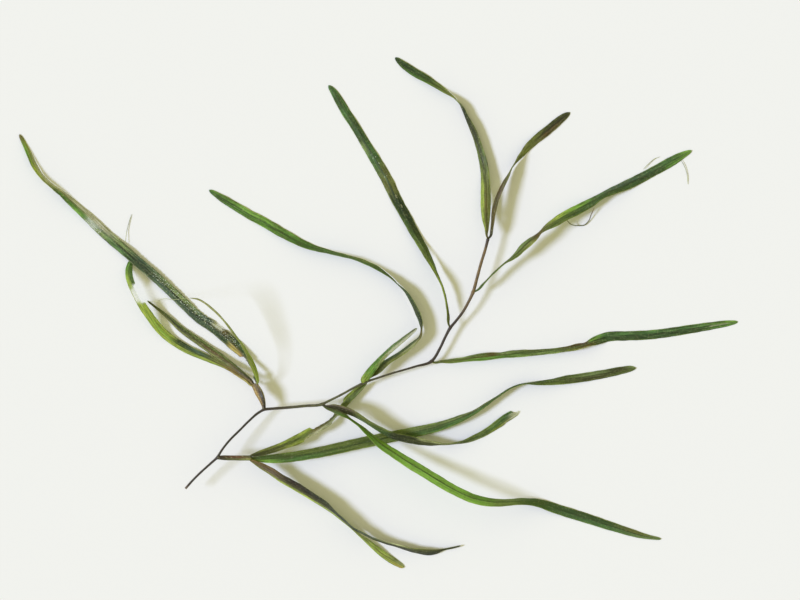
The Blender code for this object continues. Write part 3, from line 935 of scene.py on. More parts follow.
def end_tree(tree: Tree, shape: Socket, given: bpy.types.Node, result: bpy.types.Node) -> None:
    """Ends a geometry tree with its instances made real and its material set.

    Args:
        tree: The geometry tree.
        shape: The socket with the finished shape.
        given: The tree's input node, with an input named Material.
        result: The tree's output node.
    """
    whole = add_node(tree, "GeometryNodeRealizeInstances", {"Geometry": shape})
    finish = {"Geometry": whole.outputs["Geometry"], "Material": given.outputs["Material"]}
    dressed = add_node(tree, "GeometryNodeSetMaterial", finish)
    tree.links.new(dressed.outputs["Geometry"], result.inputs["Geometry"])


def stem_tree() -> Tree:
    """Builds the tree that sweeps a ridged round section along a stem or thread.

    Returns:
        The geometry tree.
    """
    tree, given, result = new_geometry_tree(
        "ridged stem",
        {
            "Sides": "NodeSocketInt",
            "Ridges": "NodeSocketFloat",
            "Ridge height": "NodeSocketFloat",
            "Material": "NodeSocketMaterial",
        },
    )
    share = add_node(tree, "GeometryNodeSplineParameter").outputs["Factor"]
    marks = {"Geometry": given.outputs["Geometry"], "Name": "along", "Value": share}
    marked = add_node(tree, "GeometryNodeStoreNamedAttribute", marks)
    ring = {"Resolution": given.outputs["Sides"], "Radius": 1.0}
    circle = add_node(tree, "GeometryNodeCurvePrimitiveCircle", ring)
    turn = add_node(tree, "GeometryNodeSplineParameter").outputs["Factor"]
    steps = (
        ("MULTIPLY", math.tau),
        ("MULTIPLY", given.outputs["Ridges"]),
        ("COSINE", 0.0),
        ("MULTIPLY", given.outputs["Ridge height"]),
        ("ADD", 1.0),
    )
    for operation, by in steps:
        turn = add_node(tree, "ShaderNodeMath", {0: turn, 1: by}, operation=operation).outputs[0]
    growth = {0: add_node(tree, "GeometryNodeInputPosition").outputs[0], "Scale": turn}
    grown = add_node(tree, "ShaderNodeVectorMath", growth, operation="SCALE")
    moved = {"Geometry": circle.outputs["Curve"], "Position": grown.outputs[0]}
    section = add_node(tree, "GeometryNodeSetPosition", moved)
    sweep = {
        "Curve": marked.outputs["Geometry"],
        "Profile Curve": section.outputs["Geometry"],
        "Scale": add_node(tree, "GeometryNodeInputRadius").outputs[0],
        "Fill Caps": True,
    }
    swept = add_node(tree, "GeometryNodeCurveToMesh", sweep)
    smooth = add_node(tree, "GeometryNodeSetShadeSmooth", {"Geometry": swept.outputs["Mesh"]})
    end_tree(tree, smooth.outputs["Geometry"], given, result)
    return tree


def grain_tree() -> Tree:
    """Builds the tree that strews flat grains over a patch of leaf.

    Returns:
        The geometry tree.
    """
    tree, given, result = new_geometry_tree(
        "strewn grains",
        {
            "Grain radius": "NodeSocketFloat",
            "Grains per area": "NodeSocketFloat",
            "Seed": "NodeSocketInt",
            "Material": "NodeSocketMaterial",
        },
    )
    spread = {
        "Mesh": given.outputs["Geometry"],
        "Density": given.outputs["Grains per area"],
        "Seed": given.outputs["Seed"],
    }
    strewn = add_node(tree, "GeometryNodeDistributePointsOnFaces", spread)
    round_grain = {"Radius": given.outputs["Grain radius"], "Subdivisions": 2}
    ball = add_node(tree, "GeometryNodeMeshIcoSphere", round_grain)
    sizes = {0: SMALLEST_GRAIN, 1: LARGEST_GRAIN, "Seed": given.outputs["Seed"]}
    size = add_node(tree, "FunctionNodeRandomValue", sizes, data_type="FLOAT_VECTOR")
    places = {
        "Points": strewn.outputs["Points"],
        "Instance": ball.outputs["Mesh"],
        "Rotation": strewn.outputs["Rotation"],
        "Scale": size.outputs[0],
    }
    placed = add_node(tree, "GeometryNodeInstanceOnPoints", places)
    end_tree(tree, placed.outputs["Instances"], given, result)
    return tree


def poly_curve(name: str, points: np.ndarray, radii: np.ndarray) -> bpy.types.Object:
    """Makes a curve through points in millimetres, with a radius at each.

    Args:
        name: The curve's name.
        points: Places measured from the cut end, in millimetres.
        radii: The radius at each point, in millimetres.

    Returns:
        The curve's object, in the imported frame.
    """
    curve = bpy.data.curves.new(name, "CURVE")
    curve.dimensions = "3D"
    spline = curve.splines.new("POLY")
    spline.points.add(len(points) - 1)
    for knot, place, radius in zip(spline.points, in_row_frame(points), radii):
        knot.co = (*place, 1.0)
        knot.radius = radius * MM
    return bpy.data.objects.new(name, curve)


@dataclass
class StemLength:
    """A stretch of stem, swollen where leaves or shoots stand on it."""

    node: str
    skin: StemSkin
    points: Sequence[StemPoint]
    swollen_at: Sequence[int] = ()

    def build(self, tree: Tree) -> None:
        """Sweeps the stem's section along its route and dresses it.

        Args:
            tree: The geometry tree that sweeps a ridged section.
        """
        at, rows = smooth_rows(self.points, STEM_ROW_SPACING)
        for number in self.swollen_at:
            away = np.linalg.norm(rows[:, :3] - np.array(self.points[number][:3]), axis=1)
            rows[:, 3] += NODE_SWELLING * np.exp(-((away / NODE_HALF_LENGTH) ** 2))
        rows[:, 3] *= 1 + STEM_WAVE * wander(at, len(self.points), STEM_WAVE_LENGTH)
        values = {
            "Sides": STEM_SIDES,
            "Ridges": STEM_RIDGES,
            "Ridge height": STEM_RIDGE_HEIGHT,
            "Material": self.skin.material(f"damp stem skin, {self.node}"),
        }
        curve = poly_curve(self.node, rows[:, :3], rows[:, 3])
        piece = shaped_by(curve, tree, values, f"{self.node}_skin")
        dress(piece, nodes=[self.node])


@dataclass
class Shoot(Blade):
    """A side shoot's short flattened stalk: thick, with rounded edges and no margin wave."""

    ripple: float = 0.0
    thickness: float = 0.75
    keel: float = 0.0
    tip_rounding: float = 0.5

    def __post_init__(self) -> None:
        """Reads the rows, with the end drawn on as a short sheath over the leaf bases."""
        given = np.array(self.stations, float)
        end = given[-1].copy()
        outward = given[-1, :3] - given[-2, :3]
        end[:3] += outward / np.linalg.norm(outward) * SHEATH_REACH
        self.stations = [*map(tuple, given), tuple(end)]
        super().__post_init__()

    def piece_name(self) -> str:
        """The finished piece's own name."""
        return f"{self.node}_skin"


@dataclass
class Thread:
    """A fine thread of alga or fibre that clings to a leaf."""

    name: str
    points: Sequence[Place]
    radius: float
    skin: StemSkin
    slot: str = "leaf_brown"

    def build(self, tree: Tree) -> None:
        """Sweeps a thin round section along the thread's route and dresses it.

        Args:
            tree: The geometry tree that sweeps a ridged section.
        """
        at, rows = smooth_rows(self.points, THREAD_ROW_SPACING)
        inward = np.clip(np.minimum(at, at[-1] - at) / THREAD_TAPER_LENGTH, 0.0, 1.0)
        radii = self.radius * (THREAD_END_SHARE + (1 - THREAD_END_SHARE) * inward)
        material = self.skin.material(f"algal thread, {self.name}")
        values = {"Sides": THREAD_SIDES, "Ridges": 0.0, "Ridge height": 0.0, "Material": material}
        dress(shaped_by(poly_curve(self.name, rows, radii), tree, values, self.name))


@dataclass
class LimeSpecks:
    """Grains of lime that lie on a stretch of a blade's upper face."""

    name: str
    blade: Blade
    start: float
    stop: float
    left: float
    right: float
    per_square_mm: float
    grain_mm: float
    seed: int

    def build(self, tree: Tree) -> None:
        """Strews the grains and dresses them.

        Args:
            tree: The geometry tree that strews grains.
        """
        values = {
            "Grain radius": self.grain_mm / 2 * MM,
            "Grains per area": self.per_square_mm / MM**2,
            "Seed": self.seed,
            "Material": LimeGrain().material(f"lime crust grains, {self.name}"),
        }
        patch = self.blade.patch(self.start, self.stop, self.left, self.right)
        dress(shaped_by(patch, tree, values, self.name))


@dataclass
class Studio:
    """The pale surface, the soft light from the left, and the camera straight above."""

    aim: tuple[float, float] = (6.9, 4.0)
    camera_height: float = 2.5
    view_width: float = 0.256
    sensor: float = 36.0
    floor_half: float = 20.0
    floor_shade: str = "#EEEEEA"
    light_from: float = 189.6
    light_rise: float = 40.0
    light_spread: float = 14.0
    light_colour: tuple[float, float, float] = (0.63, 0.675, 1.0)
    light_strength: float = 3.44
    sky_colour: tuple[float, float, float] = (0.592, 0.569, 0.335)

    def build(self) -> None:
        """Makes the floor, the light, the sky and the camera."""
        self.lay_floor()
        self.hang_light()
        self.fill_sky()
        self.set_camera()
        bpy.context.scene.view_settings.view_transform = "Standard"

    def lay_floor(self) -> None:
        """Lays a wide pale surface of smooth enamel."""
        shape = bmesh.new()
        bmesh.ops.create_grid(shape, x_segments=1, y_segments=1, size=self.floor_half)
        mesh = bpy.data.meshes.new("surface")
        shape.to_mesh(mesh)
        shape.free()
        floor = bpy.data.objects.new("surface", mesh)
        bpy.context.scene.collection.objects.link(floor)
        material, tree = new_tree("pale enamel")
        finish = {
            "Base Color": linear_colour(self.floor_shade),
            "Roughness": 0.6,
            "Specular IOR Level": 0.1,
        }
        skin = add_node(tree, "ShaderNodeBsdfPrincipled", finish)
        add_node(tree, "ShaderNodeOutputMaterial", {"Surface": skin.outputs[0]})
        mesh.materials.append(material)

    def hang_light(self) -> None:
        """Hangs one broad light, which casts the soft shadows to the right."""
        lamp = bpy.data.lights.new("window_light", "SUN")
        lamp.energy = self.light_strength
        lamp.color = self.light_colour
        lamp.angle = math.radians(self.light_spread)
        around, rise = math.radians(self.light_from), math.radians(self.light_rise)
        level = math.cos(rise)
        source = Vector((math.cos(around) * level, math.sin(around) * level, math.sin(rise)))
        light = bpy.data.objects.new("window_light", lamp)
        light.rotation_euler = source.to_track_quat("Z", "Y").to_euler()
        light.location = source
        bpy.context.scene.collection.objects.link(light)

    def fill_sky(self) -> None:
        """Fills the shadows with warm light from all sides."""
        world = bpy.data.worlds.new("room_light")
        world.use_nodes = True
        ground = world.node_tree.nodes["Background"]
        ground.inputs["Color"].default_value = (*self.sky_colour, 1.0)
        ground.inputs["Strength"].default_value = 1.0
        bpy.context.scene.world = world

    def set_camera(self) -> None:
        """Sets the camera straight above the sprig, with the image's long side along x."""
        lens = bpy.data.cameras.new("camera")
        lens.sensor_width = self.sensor
        lens.lens = self.sensor * self.camera_height / self.view_width
        lens.clip_end = 10.0
        camera = bpy.data.objects.new("camera", lens)
        camera.location = (self.aim[0] * MM, self.aim[1] * MM, self.camera_height)
        bpy.context.scene.collection.objects.link(camera)
        bpy.context.scene.camera = camera


def stem_lengths() -> list[StemLength]:
    """Lists the stem's three stretches, parted where the two side shoots fork off it.

    Returns:
        The three stretches, from the cut end up.
    """
    brown = StemSkin(((0.0, Shade.MAUVE_BROWN), (0.12, Shade.DARK_BROWN), (1.0, Shade.DARK_BROWN)))
    plain = StemSkin(((0.0, Shade.DARK_BROWN), (1.0, Shade.DARK_BROWN)))
    upper = StemSkin(
        (
            (0.0, Shade.DARK_BROWN), (0.2, Shade.DARK_OLIVE), (0.56, Shade.DARK_BROWN),
            (0.7, Shade.DARK_BROWN), (0.85, Shade.BROWN), (0.95, Shade.BROWN),
            (1.0, Shade.DARK_BROWN),
        ),
        fleck=Shade.DARK_BROWN,
    )
    return [
        StemLength(
            "stem_lower",
            brown,
            [
                (0.0, 0.0, 6.4, 0.36),
                (2.6, 2.9, 6.6, 0.34),
                (4.5, 4.8, 6.8, 0.34),
                (7.7, 7.7, 7.1, 0.35),
                (10.2, 9.9, 7.3, 0.38),
            ],
            [4],
        ),
        StemLength(
            "stem_middle",
            plain,
            [
                (10.2, 9.9, 7.3, 0.38),
                (11.8, 12.5, 7.2, 0.34),
                (14.1, 15.4, 6.9, 0.34),
                (17.3, 18.6, 6.3, 0.34),
                (20.5, 21.8, 5.7, 0.34),
                (23.0, 24.0, 5.2, 0.38),
                (25.1, 25.3, 5.0, 0.41),
            ],
            [0, 6],
        ),
        StemLength(
            "stem_upper",
            upper,
            [
                (25.1, 25.3, 5.0, 0.43),
                (29.2, 25.6, 5.0, 0.42),
                (33.3, 25.9, 5.0, 0.42),
                (38.4, 26.4, 5.0, 0.42),
                (43.5, 26.9, 5.0, 0.42),
                (45.4, 27.8, 5.0, 0.36),
                (50.2, 30.2, 4.8, 0.34),
                (54.0, 32.3, 4.6, 0.34),
                (57.3, 33.9, 4.5, 0.37),
                (61.1, 35.2, 4.3, 0.32),
                (65.0, 36.5, 4.0, 0.31),
                (68.8, 37.6, 3.7, 0.31),
                (73.6, 39.0, 3.3, 0.33),
                (78.4, 40.5, 3.0, 0.44),
                (81.3, 44.8, 3.2, 0.41),
                (82.9, 48.2, 3.4, 0.41),
                (84.5, 51.2, 3.6, 0.44),
                (86.3, 53.4, 3.8, 0.41),
                (88.6, 56.4, 4.1, 0.41),
                (90.4, 59.6, 4.4, 0.43),
                (91.8, 62.6, 4.6, 0.48),
                (93.1, 67.2, 4.7, 0.46),
                (94.4, 72.0, 4.8, 0.44),
                (95.7, 76.2, 4.8, 0.44),
                (96.6, 79.7, 4.7, 0.44),
            ],
            [0, 4, 8, 13, 16, 20, 24],
        ),
    ]


def side_shoots() -> list[Shoot]:
    """Lists the two short flattened stalks that carry bunches of leaves.

    Returns:
        The lower and the left side shoot.
    """
    lower = LeafTissue(
        left=((0.0, Shade.DARK_BROWN), (0.6, Shade.RED_BROWN), (1.0, Shade.DARK_OLIVE)),
        right=((0.0, Shade.DARK_BROWN), (0.5, Shade.DARK_OLIVE), (1.0, Shade.OLIVE)),
        midrib=((0.0, Shade.DARK_BROWN), (1.0, Shade.BROWN)),
        margin=Shade.DARK_OLIVE,
        glow=0.05,
    )
    left = LeafTissue(
        left=((0.0, Shade.DARK_BROWN), (0.4, Shade.OCHRE), (1.0, Shade.OCHRE)),
        right=((0.0, Shade.DARK_BROWN), (0.5, Shade.DARK_BROWN), (1.0, Shade.BROWN)),
        midrib=((0.0, Shade.DARK_BROWN), (1.0, Shade.BROWN)),
        margin=Shade.YELLOW,
        margin_strength=0.5,
        glow=0.05,
    )
    return [
        Shoot(
            "side_shoot_lower",
            "side_shoot",
            lower,
            [
                (11.4, 9.9, 7.3, 1.4, 0),
                (15.7, 9.8, 7.2, 1.6, 0),
                (20.2, 9.8, 7.1, 1.7, 0),
            ],
            seed=1,
            root=FORK_LOWER,
        ),
        Shoot(
            "side_shoot_left",
            "side_shoot",
            left,
            [
                (25.0, 26.3, 5.0, 1.3, 0),
                (24.5, 28.2, 4.8, 2.1, 20),
                (23.4, 30.7, 4.4, 3.1, 34),
                (22.3, 32.7, 4.1, 2.8, 40),
            ],
            seed=2,
            root=FORK_LEFT,
        ),
    ]


def top_blades() -> list[Blade]:
    """Lists the pair at the stem's top and the leaves from the two nodes below it.

    Returns:
        Those four blades.
    """
    top_left = LeafTissue(
        left=(
            (0.0, Shade.BROWN), (0.08, Shade.YELLOW_GREEN), (0.26, Shade.YELLOW_GREEN),
            (0.36, Shade.MOSS), (0.5, Shade.DARK_OLIVE), (0.6, Shade.BLACK_GREEN),
            (0.67, Shade.PALE_OLIVE), (0.76, Shade.SAGE), (0.84, Shade.DARK_GREEN),
            (1.0, Shade.DARK_GREEN),
        ),
        right=(
            (0.0, Shade.BROWN), (0.1, Shade.OLIVE), (0.25, Shade.OLIVE), (0.36, Shade.MOSS),
            (0.5, Shade.DARK_OLIVE), (0.6, Shade.BLACK_GREEN), (0.67, Shade.PALE_OLIVE),
            (0.75, Shade.SAGE), (0.84, Shade.GREEN), (1.0, Shade.DARK_GREEN),
        ),
        midrib=(
            (0.0, Shade.DARK_BROWN), (0.15, Shade.BROWN), (0.3, Shade.DARK_OLIVE),
            (0.5, Shade.BLACK_GREEN), (0.6, Shade.BLACK_GREEN), (0.68, Shade.OLIVE),
            (0.84, Shade.DEEP_GREEN),
        ),
        rib_share=0.45,
    )
    top_right = LeafTissue(
        left=(
            (0.0, Shade.DARK_BROWN), (0.15, Shade.BROWN), (0.3, Shade.RED_BROWN),
            (0.5, Shade.MAUVE_BROWN), (0.6, Shade.OLIVE), (0.7, Shade.OLIVE), (0.8, Shade.BROWN),
            (1.0, Shade.DARK_OLIVE),
        ),
        right=(
            (0.0, Shade.DARK_BROWN), (0.15, Shade.BROWN), (0.3, Shade.MAUVE_BROWN),
            (0.5, Shade.OLIVE), (0.62, Shade.PALE_OLIVE), (0.72, Shade.OLIVE),
            (0.85, Shade.DARK_OLIVE), (1.0, Shade.DARK_OLIVE),
        ),
        midrib=(
            (0.0, Shade.DARK_BROWN), (0.55, Shade.DARK_OLIVE), (0.68, Shade.OLIVE),
            (0.8, Shade.DARK_BROWN),
        ),
        margin=Shade.OLIVE,
    )
    upper_right = LeafTissue(
        left=(
            (0.0, Shade.DARK_GREEN), (0.15, Shade.MOSS), (0.28, Shade.SAGE),
            (0.33, Shade.RED_BROWN), (0.37, Shade.OLIVE), (0.42, Shade.YELLOW_GREEN),
            (0.52, Shade.FRESH_GREEN), (0.6, Shade.GREEN), (0.68, Shade.BLUE_GREEN),
            (0.9, Shade.GREEN), (1.0, Shade.FRESH_GREEN),
        ),
        right=(
            (0.0, Shade.DARK_GREEN), (0.2, Shade.MOSS), (0.29, Shade.OLIVE), (0.33, Shade.BROWN),
            (0.38, Shade.MOSS), (0.55, Shade.DARK_GREEN), (0.85, Shade.DARK_GREEN),
            (0.93, Shade.BRIGHT_GREEN), (1.0, Shade.FRESH_GREEN),
        ),
        midrib=(
            (0.0, Shade.DARK_OLIVE), (0.3, Shade.DARK_BROWN), (0.35, Shade.BROWN),
            (0.42, Shade.DEEP_GREEN), (0.8, Shade.DEEP_GREEN), (1.0, Shade.GREEN),
        ),
    )
    upper_straight = LeafTissue(
        left=(
            (0.0, Shade.DARK_OLIVE), (0.15, Shade.YELLOW_GREEN), (0.3, Shade.SAGE),
            (0.4, Shade.DARK_GREEN), (0.5, Shade.DEEP_GREEN), (0.58, Shade.OLIVE),
            (0.68, Shade.GREEN), (0.74, Shade.SAGE), (0.78, Shade.DARK_GREEN), (0.88, Shade.GREEN),
            (1.0, Shade.GREEN),
        ),
        right=(
            (0.0, Shade.DARK_OLIVE), (0.2, Shade.MOSS), (0.4, Shade.DEEP_GREEN),
            (0.5, Shade.DEEP_GREEN), (0.56, Shade.OLIVE), (0.62, Shade.OLIVE), (0.7, Shade.GREEN),
            (0.78, Shade.DARK_GREEN), (0.92, Shade.GREEN), (1.0, Shade.GREEN),
        ),
        midrib=(
            (0.0, Shade.BROWN), (0.25, Shade.DARK_GREEN), (0.42, Shade.BLACK_GREEN),
            (0.6, Shade.BLUE_GREEN), (1.0, Shade.DARK_GREEN),
        ),
    )
    return [
        Blade(
            "leaf_top_left",
            "leaf_olive",
            top_left,
            [
                (96.2, 80.8, 4.8, 0.7, 0),
                (96.2, 82.9, 4.4, 1.3, 0),
                (96.0, 85.4, 3.9, 2.3, 0),
                (95.9, 89.6, 3.5, 3.2, 5),
                (95.9, 93.8, 3.1, 3.3, 14),
                (95.8, 98.6, 2.3, 3.3, 28),
                (95.3, 103.4, 1.6, 3.3, 38),
                (94.1, 108.2, 1.4, 3.2, 45),
                (92.3, 113.6, 1.4, 3.1, 52),
                (89.9, 118.7, 1.4, 2.8, 61),
                (88.0, 122.6, 1.4, 2.5, 78),
                (86.0, 124.8, 1.4, 2.4, 101),
                (83.2, 126.8, 1.4, 2.7, 122),
                (80.0, 129.0, 1.2, 2.8, 138),
                (76.2, 131.3, 0.9, 2.8, 158),
                (72.0, 133.8, 0.6, 2.7, 172),
                (69.1, 135.9, 0.4, 2.1, 180),
                (66.9, 137.8, 0.3, 1.0, 180),
            ],
            seed=3,
            root=TOP_NODE,
        ),
        Blade(
            "leaf_top_right",
            "leaf_brown",
            top_right,
            [
                (97.4, 80.6, 4.7, 0.9, 30),
                (97.8, 82.6, 4.7, 1.7, 56),
                (98.1, 85.1, 4.7, 2.2, 60),
                (98.4, 88.2, 4.7, 2.5, 57),
                (99.4, 92.0, 4.5, 2.6, 56),
                (100.5, 94.9, 4.1, 2.7, 56),
                (101.7, 97.4, 3.6, 2.8, 63),
                (103.0, 99.8, 3.0, 2.9, 74),
                (104.3, 102.2, 2.5, 2.9, 88),
                (105.6, 104.3, 2.1, 2.8, 104),
                (107.3, 106.6, 1.7, 2.7, 126),
                (109.3, 109.0, 1.2, 2.7, 148),
                (112.3, 111.8, 0.7, 2.8, 168),
                (115.7, 114.5, 0.4, 2.8, 180),
                (118.9, 117.2, 0.3, 2.6, 180),
                (121.3, 119.1, 0.3, 2.0, 180),
                (122.9, 120.2, 0.3, 1.0, 180),
            ],
            seed=4,
            root=TOP_NODE,
        ),
        Blade(
            "leaf_upper_right",
            "leaf_green",
            upper_right,
            [
                (93.3, 63.4, 4.8, 0.7, 20),
                (95.4, 65.6, 5.1, 1.6, 66),
                (99.5, 69.8, 5.4, 2.1, 76),
                (101.8, 71.8, 5.6, 2.3, 74),
                (104.0, 73.3, 5.7, 2.5, 64),
                (105.9, 74.9, 5.8, 2.8, 50),
                (107.5, 76.6, 5.9, 3.0, 40),
                (110.1, 78.9, 6.0, 3.1, 42),
                (112.0, 80.4, 6.0, 3.2, 60),
                (113.4, 81.8, 5.9, 3.2, 74),
                (114.9, 83.0, 5.7, 3.2, 58),
                (117.4, 84.6, 5.2, 3.3, 36),
                (120.6, 86.7, 4.5, 3.3, 22),
                (124.8, 88.8, 3.6, 3.3, 12),
                (129.3, 91.2, 2.7, 3.3, 28),
                (133.8, 93.9, 1.9, 3.2, 50),
                (137.3, 95.4, 1.4, 3.1, 32),
                (142.1, 97.5, 0.7, 3.2, 10),
                (146.9, 99.9, 0.3, 3.1, 0),
                (151.7, 102.5, 0.3, 3.1, 0),
                (155.8, 104.8, 0.3, 3.0, 0),
                (159.0, 106.6, 0.3, 2.2, 0),
                (161.8, 108.0, 0.3, 1.0, 0),
            ],
            seed=5,
            root=SIXTH_NODE,
        ),
        Blade(
            "leaf_upper_straight",
            "leaf_green",
            upper_straight,
            [
                (84.0, 52.7, 3.8, 0.7, 0),
                (83.9, 55.0, 3.9, 1.4, -50),
                (83.5, 58.2, 3.9, 2.0, -66),
                (83.0, 61.1, 3.9, 2.3, -74),
                (82.2, 64.0, 3.8, 2.6, -76),
                (81.0, 66.7, 3.5, 2.8, -74),
                (79.0, 71.0, 2.8, 3.0, -57),
                (76.4, 76.0, 1.9, 3.1, -36),
                (73.4, 81.3, 1.1, 3.2, -22),
                (70.4, 86.9, 0.6, 3.4, -12),
                (67.3, 92.5, 0.3, 3.5, -6),
                (64.2, 98.9, 0.3, 3.6, 0),
                (60.9, 104.6, 0.3, 3.4, 0),
                (58.1, 109.2, 0.3, 3.1, 0),
                (54.2, 115.7, 0.3, 2.9, 0),
                (51.0, 120.6, 0.3, 2.9, 0),
                (48.6, 124.7, 0.3, 2.6, 0),
                (46.9, 127.3, 0.3, 1.9, 0),
                (45.6, 128.9, 0.3, 1.0, 0),
            ],
            seed=6,
            root=FIFTH_NODE,
            holes=[Hole(0.525, 0.2, 1.5, 0.55), Hole(0.488, 0.25, 1.3, 0.5)],
        ),
    ]


